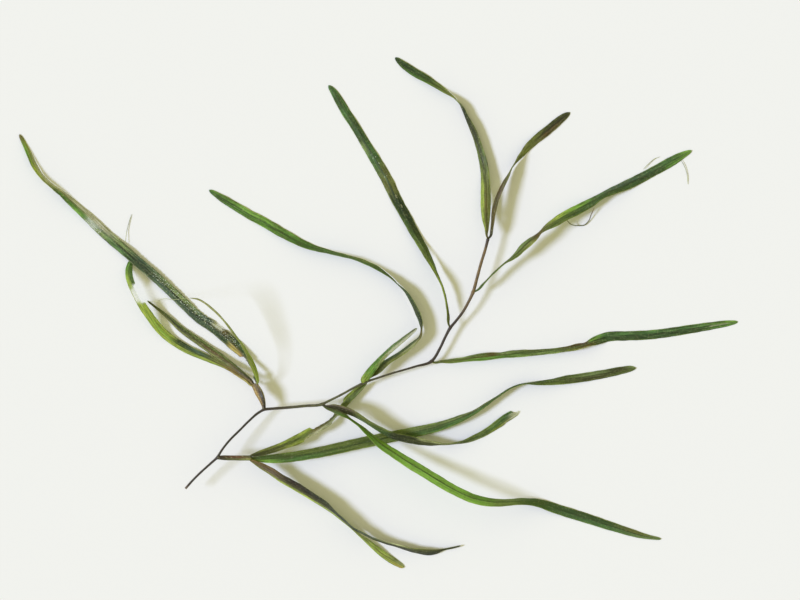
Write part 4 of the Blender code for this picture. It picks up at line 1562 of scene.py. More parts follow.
def middle_blades() -> list[Blade]:
    """Lists the leaves from the stem's middle nodes.

    Returns:
        Those blades.
    """
    middle_right = LeafTissue(
        left=(
            (0.0, Shade.DARK_OLIVE), (0.1, Shade.SAGE), (0.17, Shade.MOSS), (0.2, Shade.BROWN),
            (0.23, Shade.SAGE), (0.4, Shade.MOSS), (0.46, Shade.BROWN), (0.505, Shade.RED_BROWN),
            (0.53, Shade.FRESH_GREEN), (0.57, Shade.GREEN), (0.85, Shade.GREEN),
            (1.0, Shade.FRESH_GREEN),
        ),
        right=(
            (0.0, Shade.OLIVE), (0.2, Shade.BRIGHT_GREEN), (0.4, Shade.SAGE), (0.46, Shade.OLIVE),
            (0.5, Shade.BROWN), (0.56, Shade.DARK_GREEN), (0.85, Shade.DARK_GREEN),
            (1.0, Shade.BRIGHT_GREEN),
        ),
        midrib=(
            (0.0, Shade.DARK_OLIVE), (0.18, Shade.BROWN), (0.3, Shade.DARK_GREEN),
            (0.9, Shade.DEEP_GREEN), (0.92, Shade.PALE_CREAM), (0.96, Shade.PALE_CREAM),
            (0.98, Shade.GREEN),
        ),
        streaks=0.7,
    )
    s_curved = LeafTissue(
        left=(
            (0.0, Shade.DARK_BROWN), (0.06, Shade.DARK_GREEN), (0.3, Shade.DEEP_GREEN),
            (0.42, Shade.DARK_GREEN), (0.5, Shade.SAGE), (0.62, Shade.GREEN),
            (0.74, Shade.BRIGHT_GREEN), (0.82, Shade.FRESH_GREEN), (1.0, Shade.BRIGHT_GREEN),
        ),
        right=(
            (0.0, Shade.DARK_BROWN), (0.06, Shade.DARK_OLIVE), (0.11, Shade.OLIVE),
            (0.17, Shade.PALE_OLIVE), (0.22, Shade.BROWN), (0.25, Shade.BLACK_GREEN),
            (0.34, Shade.DEEP_GREEN), (0.5, Shade.GREEN), (0.7, Shade.GREEN),
            (0.82, Shade.BRIGHT_GREEN), (1.0, Shade.GREEN),
        ),
        midrib=(
            (0.0, Shade.BLACK_GREEN), (0.35, Shade.DEEP_GREEN), (0.7, Shade.DARK_GREEN),
            (1.0, Shade.DARK_GREEN),
        ),
    )
    short_wavy = LeafTissue(
        left=(
            (0.0, Shade.MAUVE_BROWN), (0.13, Shade.MAUVE_BROWN), (0.2, Shade.OLIVE),
            (0.33, Shade.MOSS), (0.37, Shade.BLACK_GREEN), (0.46, Shade.BLACK_GREEN),
            (0.51, Shade.PALE_OLIVE), (0.6, Shade.PALE_OLIVE), (0.7, Shade.MOSS),
            (0.82, Shade.SAGE), (0.965, Shade.GREEN), (0.98, Shade.PALE_CREAM),
        ),
        right=(
            (0.0, Shade.DARK_BROWN), (0.16, Shade.DARK_BROWN), (0.22, Shade.GREEN),
            (0.33, Shade.DARK_GREEN), (0.37, Shade.BLACK_GREEN), (0.46, Shade.BLACK_GREEN),
            (0.65, Shade.DARK_OLIVE), (0.78, Shade.SAGE), (0.88, Shade.YELLOW_GREEN),
            (0.93, Shade.PALE_OLIVE), (0.96, Shade.PALE_CREAM),
        ),
        midrib=(
            (0.0, Shade.DARK_BROWN), (0.14, Shade.DARK_BROWN), (0.2, Shade.MOSS),
            (0.32, Shade.DARK_GREEN), (0.37, Shade.BLACK_GREEN), (0.6, Shade.DARK_OLIVE),
            (0.92, Shade.GREEN), (0.98, Shade.PALE_CREAM),
        ),
        rib_share=0.6,
        rib_strength=0.9,
        clear_left=((0.0, 0.0), (0.97, 0.0), (0.98, 0.6), (1.0, 0.6)),
        clear_right=((0.0, 0.0), (0.92, 0.0), (0.96, 0.45), (1.0, 0.6)),
    )
    bright_arched = LeafTissue(
        left=(
            (0.0, Shade.DARK_OLIVE), (0.12, Shade.SAGE), (0.2, Shade.FRESH_GREEN),
            (0.42, Shade.FRESH_GREEN), (0.5, Shade.BRIGHT_GREEN), (0.57, Shade.SAGE),
            (0.65, Shade.DARK_GREEN), (0.85, Shade.DARK_GREEN), (0.93, Shade.OLIVE),
            (1.0, Shade.SAGE),
        ),
        right=(
            (0.0, Shade.DARK_OLIVE), (0.12, Shade.BRIGHT_GREEN), (0.3, Shade.FRESH_GREEN),
            (0.48, Shade.FRESH_GREEN), (0.56, Shade.SAGE), (0.65, Shade.DARK_GREEN),
            (0.85, Shade.GREEN), (1.0, Shade.SAGE),
        ),
        midrib=(
            (0.0, Shade.DARK_OLIVE), (0.4, Shade.DEEP_GREEN), (0.55, Shade.DARK_GREEN),
            (1.0, Shade.DEEP_GREEN),
        ),
        rib_share=0.17,
        rib_strength=0.9,
        glow=0.5,
        mottle=0.25,
        streaks=0.25,
    )
    return [
        Blade(
            "leaf_middle_right",
            "leaf_green",
            middle_right,
            [
                (79.8, 40.2, 2.8, 0.7, 0),
                (81.6, 40.5, 2.6, 0.9, 0),
                (84.2, 40.6, 2.4, 1.4, 10),
                (87.7, 41.0, 2.1, 1.9, 35),
                (90.9, 41.5, 1.9, 2.3, 35),
                (94.1, 41.9, 1.7, 2.6, 25),
                (97.3, 42.2, 1.6, 2.7, 30),
                (100.5, 42.5, 1.5, 2.7, 44),
                (104.3, 42.9, 1.4, 2.7, 32),
                (109.4, 43.2, 1.3, 2.7, 38),
                (115.2, 43.7, 1.3, 2.7, 48),
                (120.6, 44.3, 1.3, 2.8, 54),
                (125.1, 45.2, 1.4, 2.9, 44),
                (128.3, 46.1, 1.5, 3.0, 57),
                (130.9, 47.1, 1.0, 3.1, 25),
                (135.0, 48.4, 0.2, 3.1, 0),
                (140.8, 48.7, 0.2, 3.0, 0),
                (147.8, 49.0, 0.2, 3.0, 0),
                (154.6, 49.8, 0.2, 2.9, 0),
                (161.6, 50.9, 0.2, 2.8, 0),
                (168.6, 52.0, 0.2, 2.4, 0),
                (173.8, 52.8, 0.2, 1.8, 0),
                (176.6, 53.2, 0.2, 0.9, 0),
            ],
            seed=7,
            root=FOURTH_NODE,
            keel=0.02,
        ),
        Blade(
            "leaf_s_curved",
            "leaf_green",
            s_curved,
            [
                (59.5, 35.9, 4.5, 0.8, 10),
                (60.4, 36.8, 4.4, 1.9, 20),
                (61.9, 38.3, 4.3, 2.8, 28),
                (64.5, 40.5, 4.1, 3.0, 50),
                (67.4, 42.2, 3.8, 3.1, 55),
                (70.4, 44.3, 3.5, 3.1, 57),
                (73.1, 46.5, 3.2, 3.1, 64),
                (74.9, 48.4, 2.9, 3.1, 72),
                (75.4, 50.6, 2.6, 3.1, 80),
                (75.2, 52.8, 2.4, 3.1, 66),
                (74.1, 56.2, 2.3, 3.1, 60),
                (72.6, 59.3, 2.3, 3.1, 64),
                (70.6, 62.4, 2.3, 3.1, 74),
                (67.6, 65.6, 2.0, 3.1, 90),
                (64.4, 68.3, 1.8, 3.1, 106),
                (61.2, 70.4, 1.7, 3.1, 116),
                (58.0, 72.0, 1.7, 3.1, 114),
                (54.6, 73.3, 1.6, 3.1, 112),
                (50.2, 74.5, 1.6, 3.1, 111),
                (45.2, 75.7, 1.6, 3.1, 116),
                (40.3, 77.1, 1.4, 3.1, 132),
                (35.2, 79.3, 1.1, 3.1, 150),
                (30.4, 81.9, 0.8, 3.2, 162),
                (25.3, 84.9, 0.6, 3.1, 172),
                (20.5, 87.4, 0.4, 2.9, 180),
                (16.0, 90.1, 0.4, 2.7, 180),
                (11.5, 92.8, 0.4, 2.3, 180),
                (7.4, 95.4, 0.3, 1.0, 180),
            ],
            seed=8,
            root=MIDDLE_NODE,
        ),
        Blade(
            "leaf_short_wavy",
            "leaf_green",
            short_wavy,
            [
                (45.0, 26.3, 5.6, 0.8, 0),
                (47.4, 26.1, 6.0, 1.9, -20),
                (50.9, 25.1, 6.1, 2.7, -38),
                (54.1, 23.8, 5.9, 3.0, -50),
                (57.9, 21.4, 5.5, 3.1, -60),
                (63.4, 18.2, 5.0, 3.1, -52),
                (67.2, 16.6, 4.8, 3.2, -42),
                (70.7, 15.8, 4.4, 3.2, -38),
                (74.6, 15.0, 3.8, 3.2, -44),
                (78.7, 14.4, 2.9, 3.2, -60),
                (82.6, 14.1, 2.2, 3.2, -78),
                (86.1, 14.4, 2.0, 3.1, -78),
                (89.1, 15.0, 1.8, 3.0, -64),
                (91.8, 16.0, 1.5, 2.9, -52),
                (95.0, 17.4, 1.2, 2.8, -40),
                (97.6, 19.0, 1.0, 2.8, -32),
                (100.2, 20.8, 0.7, 2.8, -14),
                (102.7, 22.6, 0.4, 2.7, -6),
                (104.6, 23.7, 0.3, 2.4, 0),
                (106.7, 24.6, 0.3, 1.5, 0),
            ],
            seed=9,
            root=THIRD_NODE,
            tears=[Tear(Side.LEFT, 0.965, 1.0, 0.25), Tear(Side.RIGHT, 0.9, 0.94, 0.9)],
        ),
        Blade(
            "leaf_bright_arched",
            "leaf_bright_green",
            bright_arched,
            [
                (45.2, 25.6, 4.6, 0.8, 0),
                (47.4, 25.1, 4.8, 1.8, 0),
                (49.6, 24.1, 5.0, 2.0, 25),
                (51.8, 22.7, 5.2, 2.4, 66),
                (54.4, 20.9, 5.4, 2.6, 72),
                (57.0, 18.8, 5.5, 3.0, 66),
                (59.2, 16.8, 5.7, 3.2, 56),
                (62.1, 14.2, 5.9, 3.4, 44),
                (66.2, 11.5, 6.3, 3.5, 36),
                (70.7, 8.6, 7.0, 3.6, 28),
                (76.2, 5.3, 8.2, 3.6, 25),
                (81.6, 2.0, 9.4, 3.6, 25),
                (87.0, -1.0, 10.3, 3.5, 28),
                (92.5, -3.3, 10.4, 3.4, 28),
                (97.3, -4.3, 9.4, 3.3, 35),
                (102.4, -4.4, 7.1, 3.1, 45),
                (107.8, -4.2, 4.0, 3.1, 46),
                (111.7, -4.5, 2.2, 3.1, 38),
                (115.5, -5.6, 1.1, 3.2, 22),
                (119.7, -7.0, 0.6, 3.2, 8),
                (124.5, -8.5, 0.3, 3.2, 0),
                (129.3, -10.0, 0.3, 3.1, 0),
                (134.1, -11.6, 0.3, 2.9, 0),
                (138.9, -13.1, 0.3, 2.6, 0),
                (143.7, -14.6, 0.3, 2.2, 0),
                (147.8, -15.6, 0.3, 1.5, 0),
                (152.0, -16.3, 0.3, 0.8, 0),
            ],
            seed=10,
            root=THIRD_NODE,
        ),
    ]


def lower_blades() -> list[Blade]:
    """Lists the bunch on the lower side shoot.

    Returns:
        Those blades.
    """
    longest = LeafTissue(
        left=(
            (0.0, Shade.DARK_OLIVE), (0.04, Shade.DARK_GREEN), (0.15, Shade.MOSS),
            (0.35, Shade.MOSS), (0.5, Shade.SAGE), (0.65, Shade.OLIVE), (0.74, Shade.DARK_GREEN),
            (0.82, Shade.MOSS), (0.9, Shade.SAGE), (0.96, Shade.DARK_OLIVE), (1.0, Shade.SAGE),
        ),
        right=(
            (0.0, Shade.OLIVE), (0.04, Shade.FRESH_GREEN), (0.1, Shade.GREEN), (0.3, Shade.MOSS),
            (0.5, Shade.GREEN), (0.68, Shade.DARK_GREEN), (0.8, Shade.MOSS),
            (0.88, Shade.DARK_OLIVE), (1.0, Shade.MOSS),
        ),
        midrib=(
            (0.0, Shade.DARK_BROWN), (0.08, Shade.DEEP_GREEN), (0.6, Shade.DEEP_GREEN),
            (1.0, Shade.DARK_OLIVE),
        ),
    )
    half_decayed = LeafTissue(
        left=(
            (0.0, Shade.DARK_OLIVE), (0.15, Shade.OLIVE), (0.3, Shade.YELLOW_GREEN),
            (0.48, Shade.YELLOW_GREEN), (0.53, Shade.BROWN), (0.68, Shade.DARK_OLIVE),
            (0.72, Shade.SAGE), (0.8, Shade.YELLOW_GREEN), (1.0, Shade.SAGE),
        ),
        right=(
            (0.0, Shade.DARK_BROWN), (0.15, Shade.DARK_OLIVE), (0.25, Shade.OLIVE),
            (0.38, Shade.YELLOW_GREEN), (0.43, Shade.PALE_OLIVE), (0.5, Shade.PALE_CREAM),
            (0.68, Shade.PALE_OLIVE), (0.73, Shade.SAGE), (0.8, Shade.MOSS), (1.0, Shade.SAGE),
        ),
        midrib=(
            (0.0, Shade.DARK_BROWN), (0.2, Shade.DARK_OLIVE), (0.42, Shade.MOSS),
            (0.52, Shade.BROWN), (0.66, Shade.DARK_OLIVE), (0.8, Shade.MOSS),
            (1.0, Shade.DARK_OLIVE),
        ),
        margin=Shade.PALE_OLIVE,
        rib_share=0.45,
        rib_strength=0.9,
        clear_right=((0.0, 0.0), (0.4, 0.0), (0.45, 0.2), (0.66, 0.2), (0.71, 0.0), (1.0, 0.0)),
    )
    dark_hooked = LeafTissue(
        left=(
            (0.0, Shade.OCHRE), (0.1, Shade.BROWN), (0.2, Shade.DARK_BROWN),
            (0.35, Shade.BLACK_GREEN), (0.6, Shade.DEEP_GREEN), (0.72, Shade.PALE_OLIVE),
            (0.8, Shade.OLIVE), (0.88, Shade.DARK_OLIVE), (1.0, Shade.DARK_OLIVE),
        ),
        right=(
            (0.0, Shade.OLIVE), (0.1, Shade.OLIVE), (0.18, Shade.YELLOW_GREEN),
            (0.42, Shade.YELLOW_GREEN), (0.5, Shade.DEEP_GREEN), (0.86, Shade.BLACK_GREEN),
            (1.0, Shade.DARK_OLIVE),
        ),
        midrib=(
            (0.0, Shade.BROWN), (0.1, Shade.MAUVE_BROWN), (0.2, Shade.DARK_BROWN),
            (0.5, Shade.BLACK_GREEN), (1.0, Shade.BLACK_GREEN),
        ),
        rib_share=0.85,
        rib_strength=0.9,
        margin_share=0.1,
        margin_strength=0.25,
        glow=0.15,
        pale_flecks=0.15,
    )
    olive_lower = LeafTissue(
        left=(
            (0.0, Shade.OLIVE), (0.7, Shade.OLIVE), (0.85, Shade.YELLOW_GREEN),
            (1.0, Shade.PALE_OLIVE),
        ),
        right=(
            (0.0, Shade.OLIVE), (0.7, Shade.YELLOW_GREEN), (0.88, Shade.YELLOW_GREEN),
            (1.0, Shade.YELLOW),
        ),
        midrib=(
            (0.0, Shade.DARK_OLIVE), (0.8, Shade.OLIVE), (0.86, Shade.BROWN),
            (0.95, Shade.YELLOW_GREEN),
        ),
        glow=0.5,
        mottle=0.3,
    )
    return [
        Blade(
            "leaf_longest",
            "leaf_dark_green",
            longest,
            [
                (20.9, 9.7, 6.5, 0.9, 0),
                (22.6, 9.5, 6.5, 1.4, 0),
                (24.6, 9.4, 6.3, 2.1, 0),
                (27.5, 9.5, 6.1, 2.8, 4),
                (31.4, 9.8, 5.8, 3.2, 6),
                (35.5, 10.3, 5.5, 3.3, 8),
                (39.7, 11.0, 5.1, 3.4, 8),
                (44.5, 11.9, 4.6, 3.5, 5),
                (49.9, 13.1, 4.0, 3.6, 0),
                (55.7, 14.4, 3.4, 3.6, 0),
                (62.1, 15.7, 2.8, 3.6, 5),
                (68.5, 17.0, 2.4, 3.5, 10),
                (74.2, 18.2, 2.2, 3.4, 14),
                (80.0, 19.5, 2.1, 3.3, 26),
                (85.1, 21.2, 2.1, 3.2, 36),
                (89.3, 22.9, 2.1, 3.1, 50),
                (93.1, 24.8, 2.0, 3.0, 62),
                (96.6, 27.2, 1.9, 2.9, 70),
                (100.2, 29.6, 1.8, 2.9, 77),
                (103.4, 31.7, 1.7, 2.9, 82),
                (106.6, 33.0, 1.7, 2.9, 82),
                (109.8, 33.5, 1.7, 2.9, 78),
                (112.6, 33.6, 1.5, 2.9, 64),
                (116.5, 33.9, 1.2, 2.8, 46),
                (121.3, 34.6, 0.8, 2.9, 22),
                (127.7, 35.5, 0.4, 2.9, 8),
                (134.1, 36.6, 0.3, 2.7, 0),
                (139.5, 37.7, 0.3, 2.4, 0),
                (142.1, 38.2, 0.3, 1.9, 0),
                (144.0, 38.4, 0.3, 0.9, 0),
            ],
            seed=11,
            root=LOWER_SHOOT_END,
        ),
        Blade(
            "leaf_half_decayed",
            "leaf_olive",
            half_decayed,
            [
                (20.8, 10.4, 7.3, 0.7, 0),
                (22.5, 10.9, 7.2, 1.4, 0),
                (24.3, 11.4, 7.1, 2.0, 0),
                (26.9, 12.2, 6.7, 2.3, 12),
                (31.7, 13.9, 5.6, 2.8, 25),
                (36.5, 16.0, 4.6, 3.3, 5),
                (39.7, 17.8, 3.9, 3.3, 20),
                (42.9, 19.5, 3.3, 3.2, 40),
                (46.4, 21.8, 2.7, 3.1, 40),
                (48.6, 24.3, 2.3, 3.0, 34),
                (50.6, 27.0, 2.1, 3.0, 36),
                (52.8, 29.3, 2.1, 2.9, 30),
                (55.0, 31.4, 2.4, 2.2, 20),
                (56.6, 32.7, 2.7, 1.4, 10),
                (58.1, 33.9, 2.9, 0.6, 0),
            ],
            seed=12,
            root=LOWER_SHOOT_END,
            tears=[
                Tear(Side.LEFT, 0.485, 0.69, 0.35, 0.3),
                Tear(Side.LEFT, 0.74, 0.8, 0.5),
                Tear(Side.RIGHT, 0.4, 0.5, 0.7, 0.3),
                Tear(Side.RIGHT, 0.62, 0.7, 0.6),
            ],
        ),
        Blade(
            "leaf_dark_hooked",
            "leaf_dark_green",
            dark_hooked,
            [
                (20.8, 9.1, 7.3, 0.7, 0),
                (22.2, 8.4, 7.3, 1.3, 0),
                (24.0, 7.4, 6.9, 1.9, 0),
                (27.2, 5.6, 5.6, 2.4, -12),
                (30.7, 3.2, 4.7, 2.8, -20),
                (34.6, 1.0, 4.4, 3.0, -22),
                (38.4, -1.3, 4.2, 3.0, -28),
                (41.9, -3.5, 4.1, 3.0, -35),
                (44.8, -5.4, 3.9, 3.0, -46),
                (47.7, -7.7, 3.7, 3.0, -66),
                (50.9, -10.4, 3.7, 3.0, -76),
                (53.4, -12.6, 3.6, 3.0, -76),
                (56.3, -14.2, 3.3, 3.0, -76),
                (59.2, -15.7, 2.8, 3.0, -76),
                (62.7, -17.0, 2.3, 3.0, -72),
                (66.9, -18.2, 1.9, 3.0, -68),
                (71.0, -19.4, 1.7, 2.9, -60),
                (75.2, -20.2, 1.6, 2.8, -48),
                (78.4, -20.5, 1.5, 2.5, -40),
                (80.6, -20.2, 1.4, 1.8, -40),
                (82.2, -19.7, 1.3, 1.0, -40),
                (85.1, -19.1, 1.2, 0.7, -30),
                (88.0, -18.4, 1.1, 0.5, 0),
            ],
            seed=13,
            root=LOWER_SHOOT_END,
        ),
        Blade(
            "leaf_olive_lower",
            "leaf_olive",
            olive_lower,
            [
                (22.0, 8.5, 5.2, 0.7, 0),
                (27.2, 5.4, 4.1, 1.7, 0),
                (34.6, 0.7, 2.9, 2.0, -10),
                (41.9, -4.0, 1.9, 2.0, -26),
                (47.7, -8.2, 1.3, 1.6, -48),
                (51.2, -11.1, 1.1, 1.6, -58),
                (53.8, -13.4, 1.0, 1.6, -60),
                (55.7, -15.0, 1.0, 1.8, -56),
                (58.3, -17.2, 0.9, 2.0, -42),
                (61.0, -19.5, 0.7, 2.2, -26),
                (64.0, -21.8, 0.5, 2.3, -10),
                (66.7, -23.5, 0.3, 2.2, 0),
                (68.5, -24.6, 0.3, 1.8, 0),
                (69.8, -25.4, 0.3, 1.4, 0),
            ],
            seed=14,
            root=LOWER_SHOOT_END,
        ),
    ]


def left_blades() -> list[Blade]:
    """Lists the bunch on the left side shoot.

    Returns:
        Those blades.
    """
    # Painted light on this leaf: the silver stops at 0.67 are a painted highlight, the glare of its
    # wet film, and the pale stops from about 0.64 to 0.92, mostly on the right half, are painted
    # light glowing through the tilted stretch
    far_left = LeafTissue(
        left=(
            (0.0, Shade.DARK_BROWN), (0.06, Shade.DARK_GREEN), (0.1, Shade.OCHRE),
            (0.14, Shade.YELLOW), (0.17, Shade.DEEP_GREEN), (0.35, Shade.BLUE_GREEN),
            (0.5, Shade.DEEP_GREEN), (0.57, Shade.GREEN), (0.64, Shade.SAGE), (0.67, Shade.SILVER),
            (0.71, Shade.BRIGHT_GREEN), (0.79, Shade.GREEN), (0.84, Shade.PALE_OLIVE),
            (0.89, Shade.YELLOW_GREEN), (0.95, Shade.FRESH_GREEN), (1.0, Shade.BROWN),
        ),
        right=(
            (0.0, Shade.BRIGHT_GREEN), (0.07, Shade.GREEN), (0.16, Shade.DEEP_GREEN),
            (0.19, Shade.BROWN), (0.2, Shade.PALE_CREAM), (0.22, Shade.PALE_CREAM),
            (0.24, Shade.BLUE_GREEN), (0.35, Shade.SAGE), (0.5, Shade.BLUE_GREEN),
            (0.57, Shade.SAGE), (0.64, Shade.PALE_CREAM), (0.86, Shade.PALE_CREAM),
            (0.92, Shade.PALE_OLIVE), (0.97, Shade.YELLOW_GREEN), (1.0, Shade.BROWN),
        ),
        midrib=(
            (0.0, Shade.DARK_OLIVE), (0.2, Shade.BLACK_GREEN), (0.55, Shade.BLACK_GREEN),
            (0.62, Shade.DARK_GREEN), (0.67, Shade.SILVER), (0.71, Shade.SAGE), (0.79, Shade.OLIVE),
            (0.84, Shade.PALE_CREAM), (0.9, Shade.PALE_OLIVE), (1.0, Shade.OLIVE),
        ),
        margin=Shade.PALE_OLIVE,
        glow=0.4,
        mottle=0.25,
        streaks=0.7,
        pale_flecks=0.6,
        clear_right=((0.0, 0.0), (0.185, 0.0), (0.2, 0.7), (0.215, 0.7), (0.23, 0.0), (1.0, 0.0)),
    )
    curled_left = LeafTissue(
        left=(
            (0.0, Shade.YELLOW), (0.06, Shade.YELLOW), (0.12, Shade.OCHRE),
            (0.2, Shade.YELLOW_GREEN), (0.4, Shade.YELLOW_GREEN), (0.6, Shade.YELLOW_GREEN),
            (0.64, Shade.PALE_CREAM), (0.69, Shade.YELLOW_GREEN), (0.78, Shade.BRIGHT_GREEN),
            (0.84, Shade.GREEN), (1.0, Shade.DARK_GREEN),
        ),
        right=(
            (0.0, Shade.BROWN), (0.1, Shade.OCHRE), (0.2, Shade.OLIVE), (0.27, Shade.BLUE_GREEN),
            (0.37, Shade.DEEP_GREEN), (0.42, Shade.YELLOW_GREEN), (0.6, Shade.YELLOW_GREEN),
            (0.64, Shade.PALE_CREAM), (0.69, Shade.DARK_GREEN), (0.78, Shade.GREEN),
            (1.0, Shade.DARK_GREEN),
        ),
        midrib=(
            (0.0, Shade.BROWN), (0.15, Shade.BROWN), (0.28, Shade.DEEP_GREEN),
            (0.37, Shade.DARK_GREEN), (0.44, Shade.FRESH_GREEN), (0.62, Shade.YELLOW_GREEN),
            (0.8, Shade.GREEN), (1.0, Shade.DARK_GREEN),
        ),
        glow=0.5,
        mottle=0.2,
        clear_left=((0.0, 0.0), (0.6, 0.0), (0.625, 0.8), (0.665, 0.8), (0.69, 0.0), (1.0, 0.0)),
        clear_right=((0.0, 0.0), (0.59, 0.0), (0.61, 0.9), (0.68, 0.9), (0.7, 0.0), (1.0, 0.0)),
    )
    narrow_left = LeafTissue(
        left=(
            (0.0, Shade.OCHRE), (0.15, Shade.BROWN), (0.3, Shade.OLIVE), (0.85, Shade.OLIVE),
            (1.0, Shade.DARK_OLIVE),
        ),
        right=(
            (0.0, Shade.DARK_BROWN), (0.3, Shade.MOSS), (0.85, Shade.MOSS), (1.0, Shade.DARK_OLIVE),
        ),
        midrib=(
            (0.0, Shade.DARK_BROWN), (0.3, Shade.BROWN), (0.42, Shade.RED_BROWN),
            (0.55, Shade.DARK_OLIVE), (0.7, Shade.BLACK_GREEN), (1.0, Shade.DARK_OLIVE),
        ),
        margin=Shade.OLIVE,
        rib_share=0.6,
        glow=0.35,
    )
    arched_left = LeafTissue(
        left=(
            (0.0, Shade.OLIVE), (0.08, Shade.YELLOW_GREEN), (0.4, Shade.PALE_OLIVE),
            (0.5, Shade.PALE_OLIVE), (0.7, Shade.PALE_CREAM), (1.0, Shade.PALE_CREAM),
        ),
        right=(
            (0.0, Shade.OLIVE), (0.08, Shade.YELLOW_GREEN), (0.4, Shade.YELLOW_GREEN),
            (0.5, Shade.PALE_OLIVE), (0.7, Shade.PALE_CREAM), (1.0, Shade.PALE_CREAM),
        ),
        midrib=(
            (0.0, Shade.OLIVE), (0.4, Shade.SAGE), (0.6, Shade.OLIVE), (1.0, Shade.MAUVE_BROWN),
        ),
        margin=Shade.PALE_OLIVE,
        glow=0.55,
        mottle=0.15,
        streaks=0.3,
    )
    return [
        Blade(
            "leaf_far_left",
            "leaf_dark_green",
            far_left,
            [
                (22.8, 33.7, 4.4, 0.8, 20),
                (22.5, 34.9, 4.1, 1.3, 28),
                (21.8, 37.4, 3.1, 2.3, 24),
                (20.2, 40.3, 1.9, 2.5, 14),
                (18.4, 42.9, 1.2, 2.9, 6),
                (16.0, 45.4, 0.8, 3.8, 0),
                (12.8, 48.3, 0.6, 3.8, 0),
                (9.0, 51.4, 0.5, 3.7, 0),
                (4.5, 54.4, 0.5, 3.6, 0),
                (-0.3, 58.8, 0.7, 3.5, 0),
                (-5.1, 63.4, 1.0, 3.4, 0),
                (-9.9, 67.8, 1.1, 3.4, 0),
                (-14.7, 71.9, 1.2, 3.4, 0),
                (-18.9, 75.5, 1.2, 3.3, 0),
                (-23.2, 79.1, 0.7, 3.3, 0),
                (-27.3, 82.8, 0.6, 3.3, 0),
                (-30.5, 85.9, 0.8, 3.2, -10),
                (-33.7, 88.9, 1.0, 3.1, -22),
                (-36.9, 91.8, 1.2, 3.1, -36),
                (-40.1, 94.6, 1.4, 3.0, -50),
                (-43.3, 97.1, 1.5, 2.9, -60),
                (-45.9, 99.5, 1.4, 2.8, -56),
                (-48.0, 102.4, 1.3, 2.6, -48),
                (-49.7, 105.9, 1.0, 2.3, -40),
                (-51.3, 109.4, 0.7, 1.8, -32),
                (-53.3, 113.2, 0.3, 0.8, 0),
            ],
            seed=15,
            root=LEFT_SHOOT_END,
            tears=[
                Tear(Side.RIGHT, 0.03, 0.085, 0.6),
                Tear(Side.RIGHT, 0.185, 0.225, 0.8),
                Tear(Side.RIGHT, 0.24, 0.52, 0.93),
                Tear(Side.LEFT, 0.03, 0.105, 0.3),
            ],
        ),
        Blade(
            "leaf_curled_left",
            "leaf_bright_green",
            curled_left,
            [
                (21.1, 32.9, 3.4, 0.8, 0),
                (19.5, 34.4, 2.9, 1.1, 0),
                (17.3, 35.9, 2.1, 1.3, 10),
                (14.1, 38.1, 1.2, 1.5, 25),
                (10.9, 39.7, 0.6, 1.8, 25),
                (7.7, 41.2, 0.5, 2.2, 14),
                (4.5, 42.6, 0.5, 2.5, 14),
                (1.3, 44.0, 0.5, 2.7, 10),
                (-1.9, 45.8, 0.5, 2.8, 8),
                (-4.8, 47.7, 0.8, 2.8, 8),
                (-7.6, 50.1, 1.6, 2.8, 8),
                (-10.0, 53.0, 2.7, 2.8, 8),
                (-12.1, 55.9, 3.7, 2.7, 8),
                (-14.2, 59.1, 4.4, 2.6, 10),
                (-15.8, 62.2, 4.7, 2.6, 15),
                (-17.2, 65.1, 4.5, 2.5, 15),
                (-18.1, 68.2, 3.1, 2.4, 8),
                (-18.1, 70.7, 1.2, 2.1, 4),
                (-17.6, 72.3, 0.35, 1.5, 0),
                (-16.7, 73.1, 0.3, 1.1, 0),
                (-15.4, 72.8, 0.3, 1.2, 0),
                (-13.4, 71.4, 0.3, 1.8, 0),
                (-10.9, 69.1, 0.3, 2.1, 0),
                (-8.3, 66.6, 0.3, 1.9, 0),
                (-5.8, 64.1, 0.3, 0.9, 0),
            ],
            seed=16,
            root=LEFT_SHOOT_END,
            tears=[Tear(Side.RIGHT, 0.6, 0.69, 0.3)],
        ),
        Blade(
            "leaf_narrow_left",
            "leaf_brown",
            narrow_left,
            [
                (21.8, 33.2, 4.4, 0.7, 0),
                (21.0, 34.3, 4.1, 1.0, 0),
                (19.2, 35.8, 3.4, 1.3, 0),
                (17.0, 37.6, 2.7, 1.6, 5),
                (14.1, 39.8, 1.9, 1.9, 5),
                (10.9, 42.1, 1.3, 2.2, 5),
                (7.7, 44.3, 0.9, 2.3, 5),
                (4.5, 46.6, 0.7, 2.3, 5),
                (1.3, 48.8, 0.6, 2.2, 5),
                (-1.9, 51.2, 0.5, 2.0, 8),
                (-4.5, 53.6, 0.6, 1.6, 10),
                (-6.7, 55.5, 1.0, 1.2, 10),
                (-9.0, 57.4, 1.7, 0.9, 10),
                (-10.9, 58.9, 2.5, 0.7, 5),
                (-12.3, 60.0, 3.2, 0.6, 0),
            ],
            seed=17,
            root=LEFT_SHOOT_END,
        ),
        Blade(
            "leaf_arched_left",
            "leaf_olive",
            arched_left,
            [
                (23.1, 34.2, 6.0, 0.8, 0),
                (22.9, 35.4, 6.8, 1.1, -10),
                (22.3, 37.4, 7.8, 1.7, -25),
                (21.0, 40.6, 8.9, 2.0, -35),
                (19.5, 43.7, 9.9, 2.0, -56),
                (18.0, 46.1, 10.6, 2.0, -68),
                (16.2, 48.6, 11.4, 2.0, -72),
                (13.6, 52.2, 12.5, 2.0, -72),
                (11.2, 55.0, 13.5, 2.0, -72),
                (8.7, 57.4, 14.5, 1.9, -72),
                (6.5, 59.2, 15.4, 1.8, -72),
                (4.3, 60.4, 16.1, 1.5, -70),
                (1.7, 60.8, 16.6, 0.6, -66),
            ],
            seed=18,
            root=LEFT_SHOOT_END,
        ),
    ]


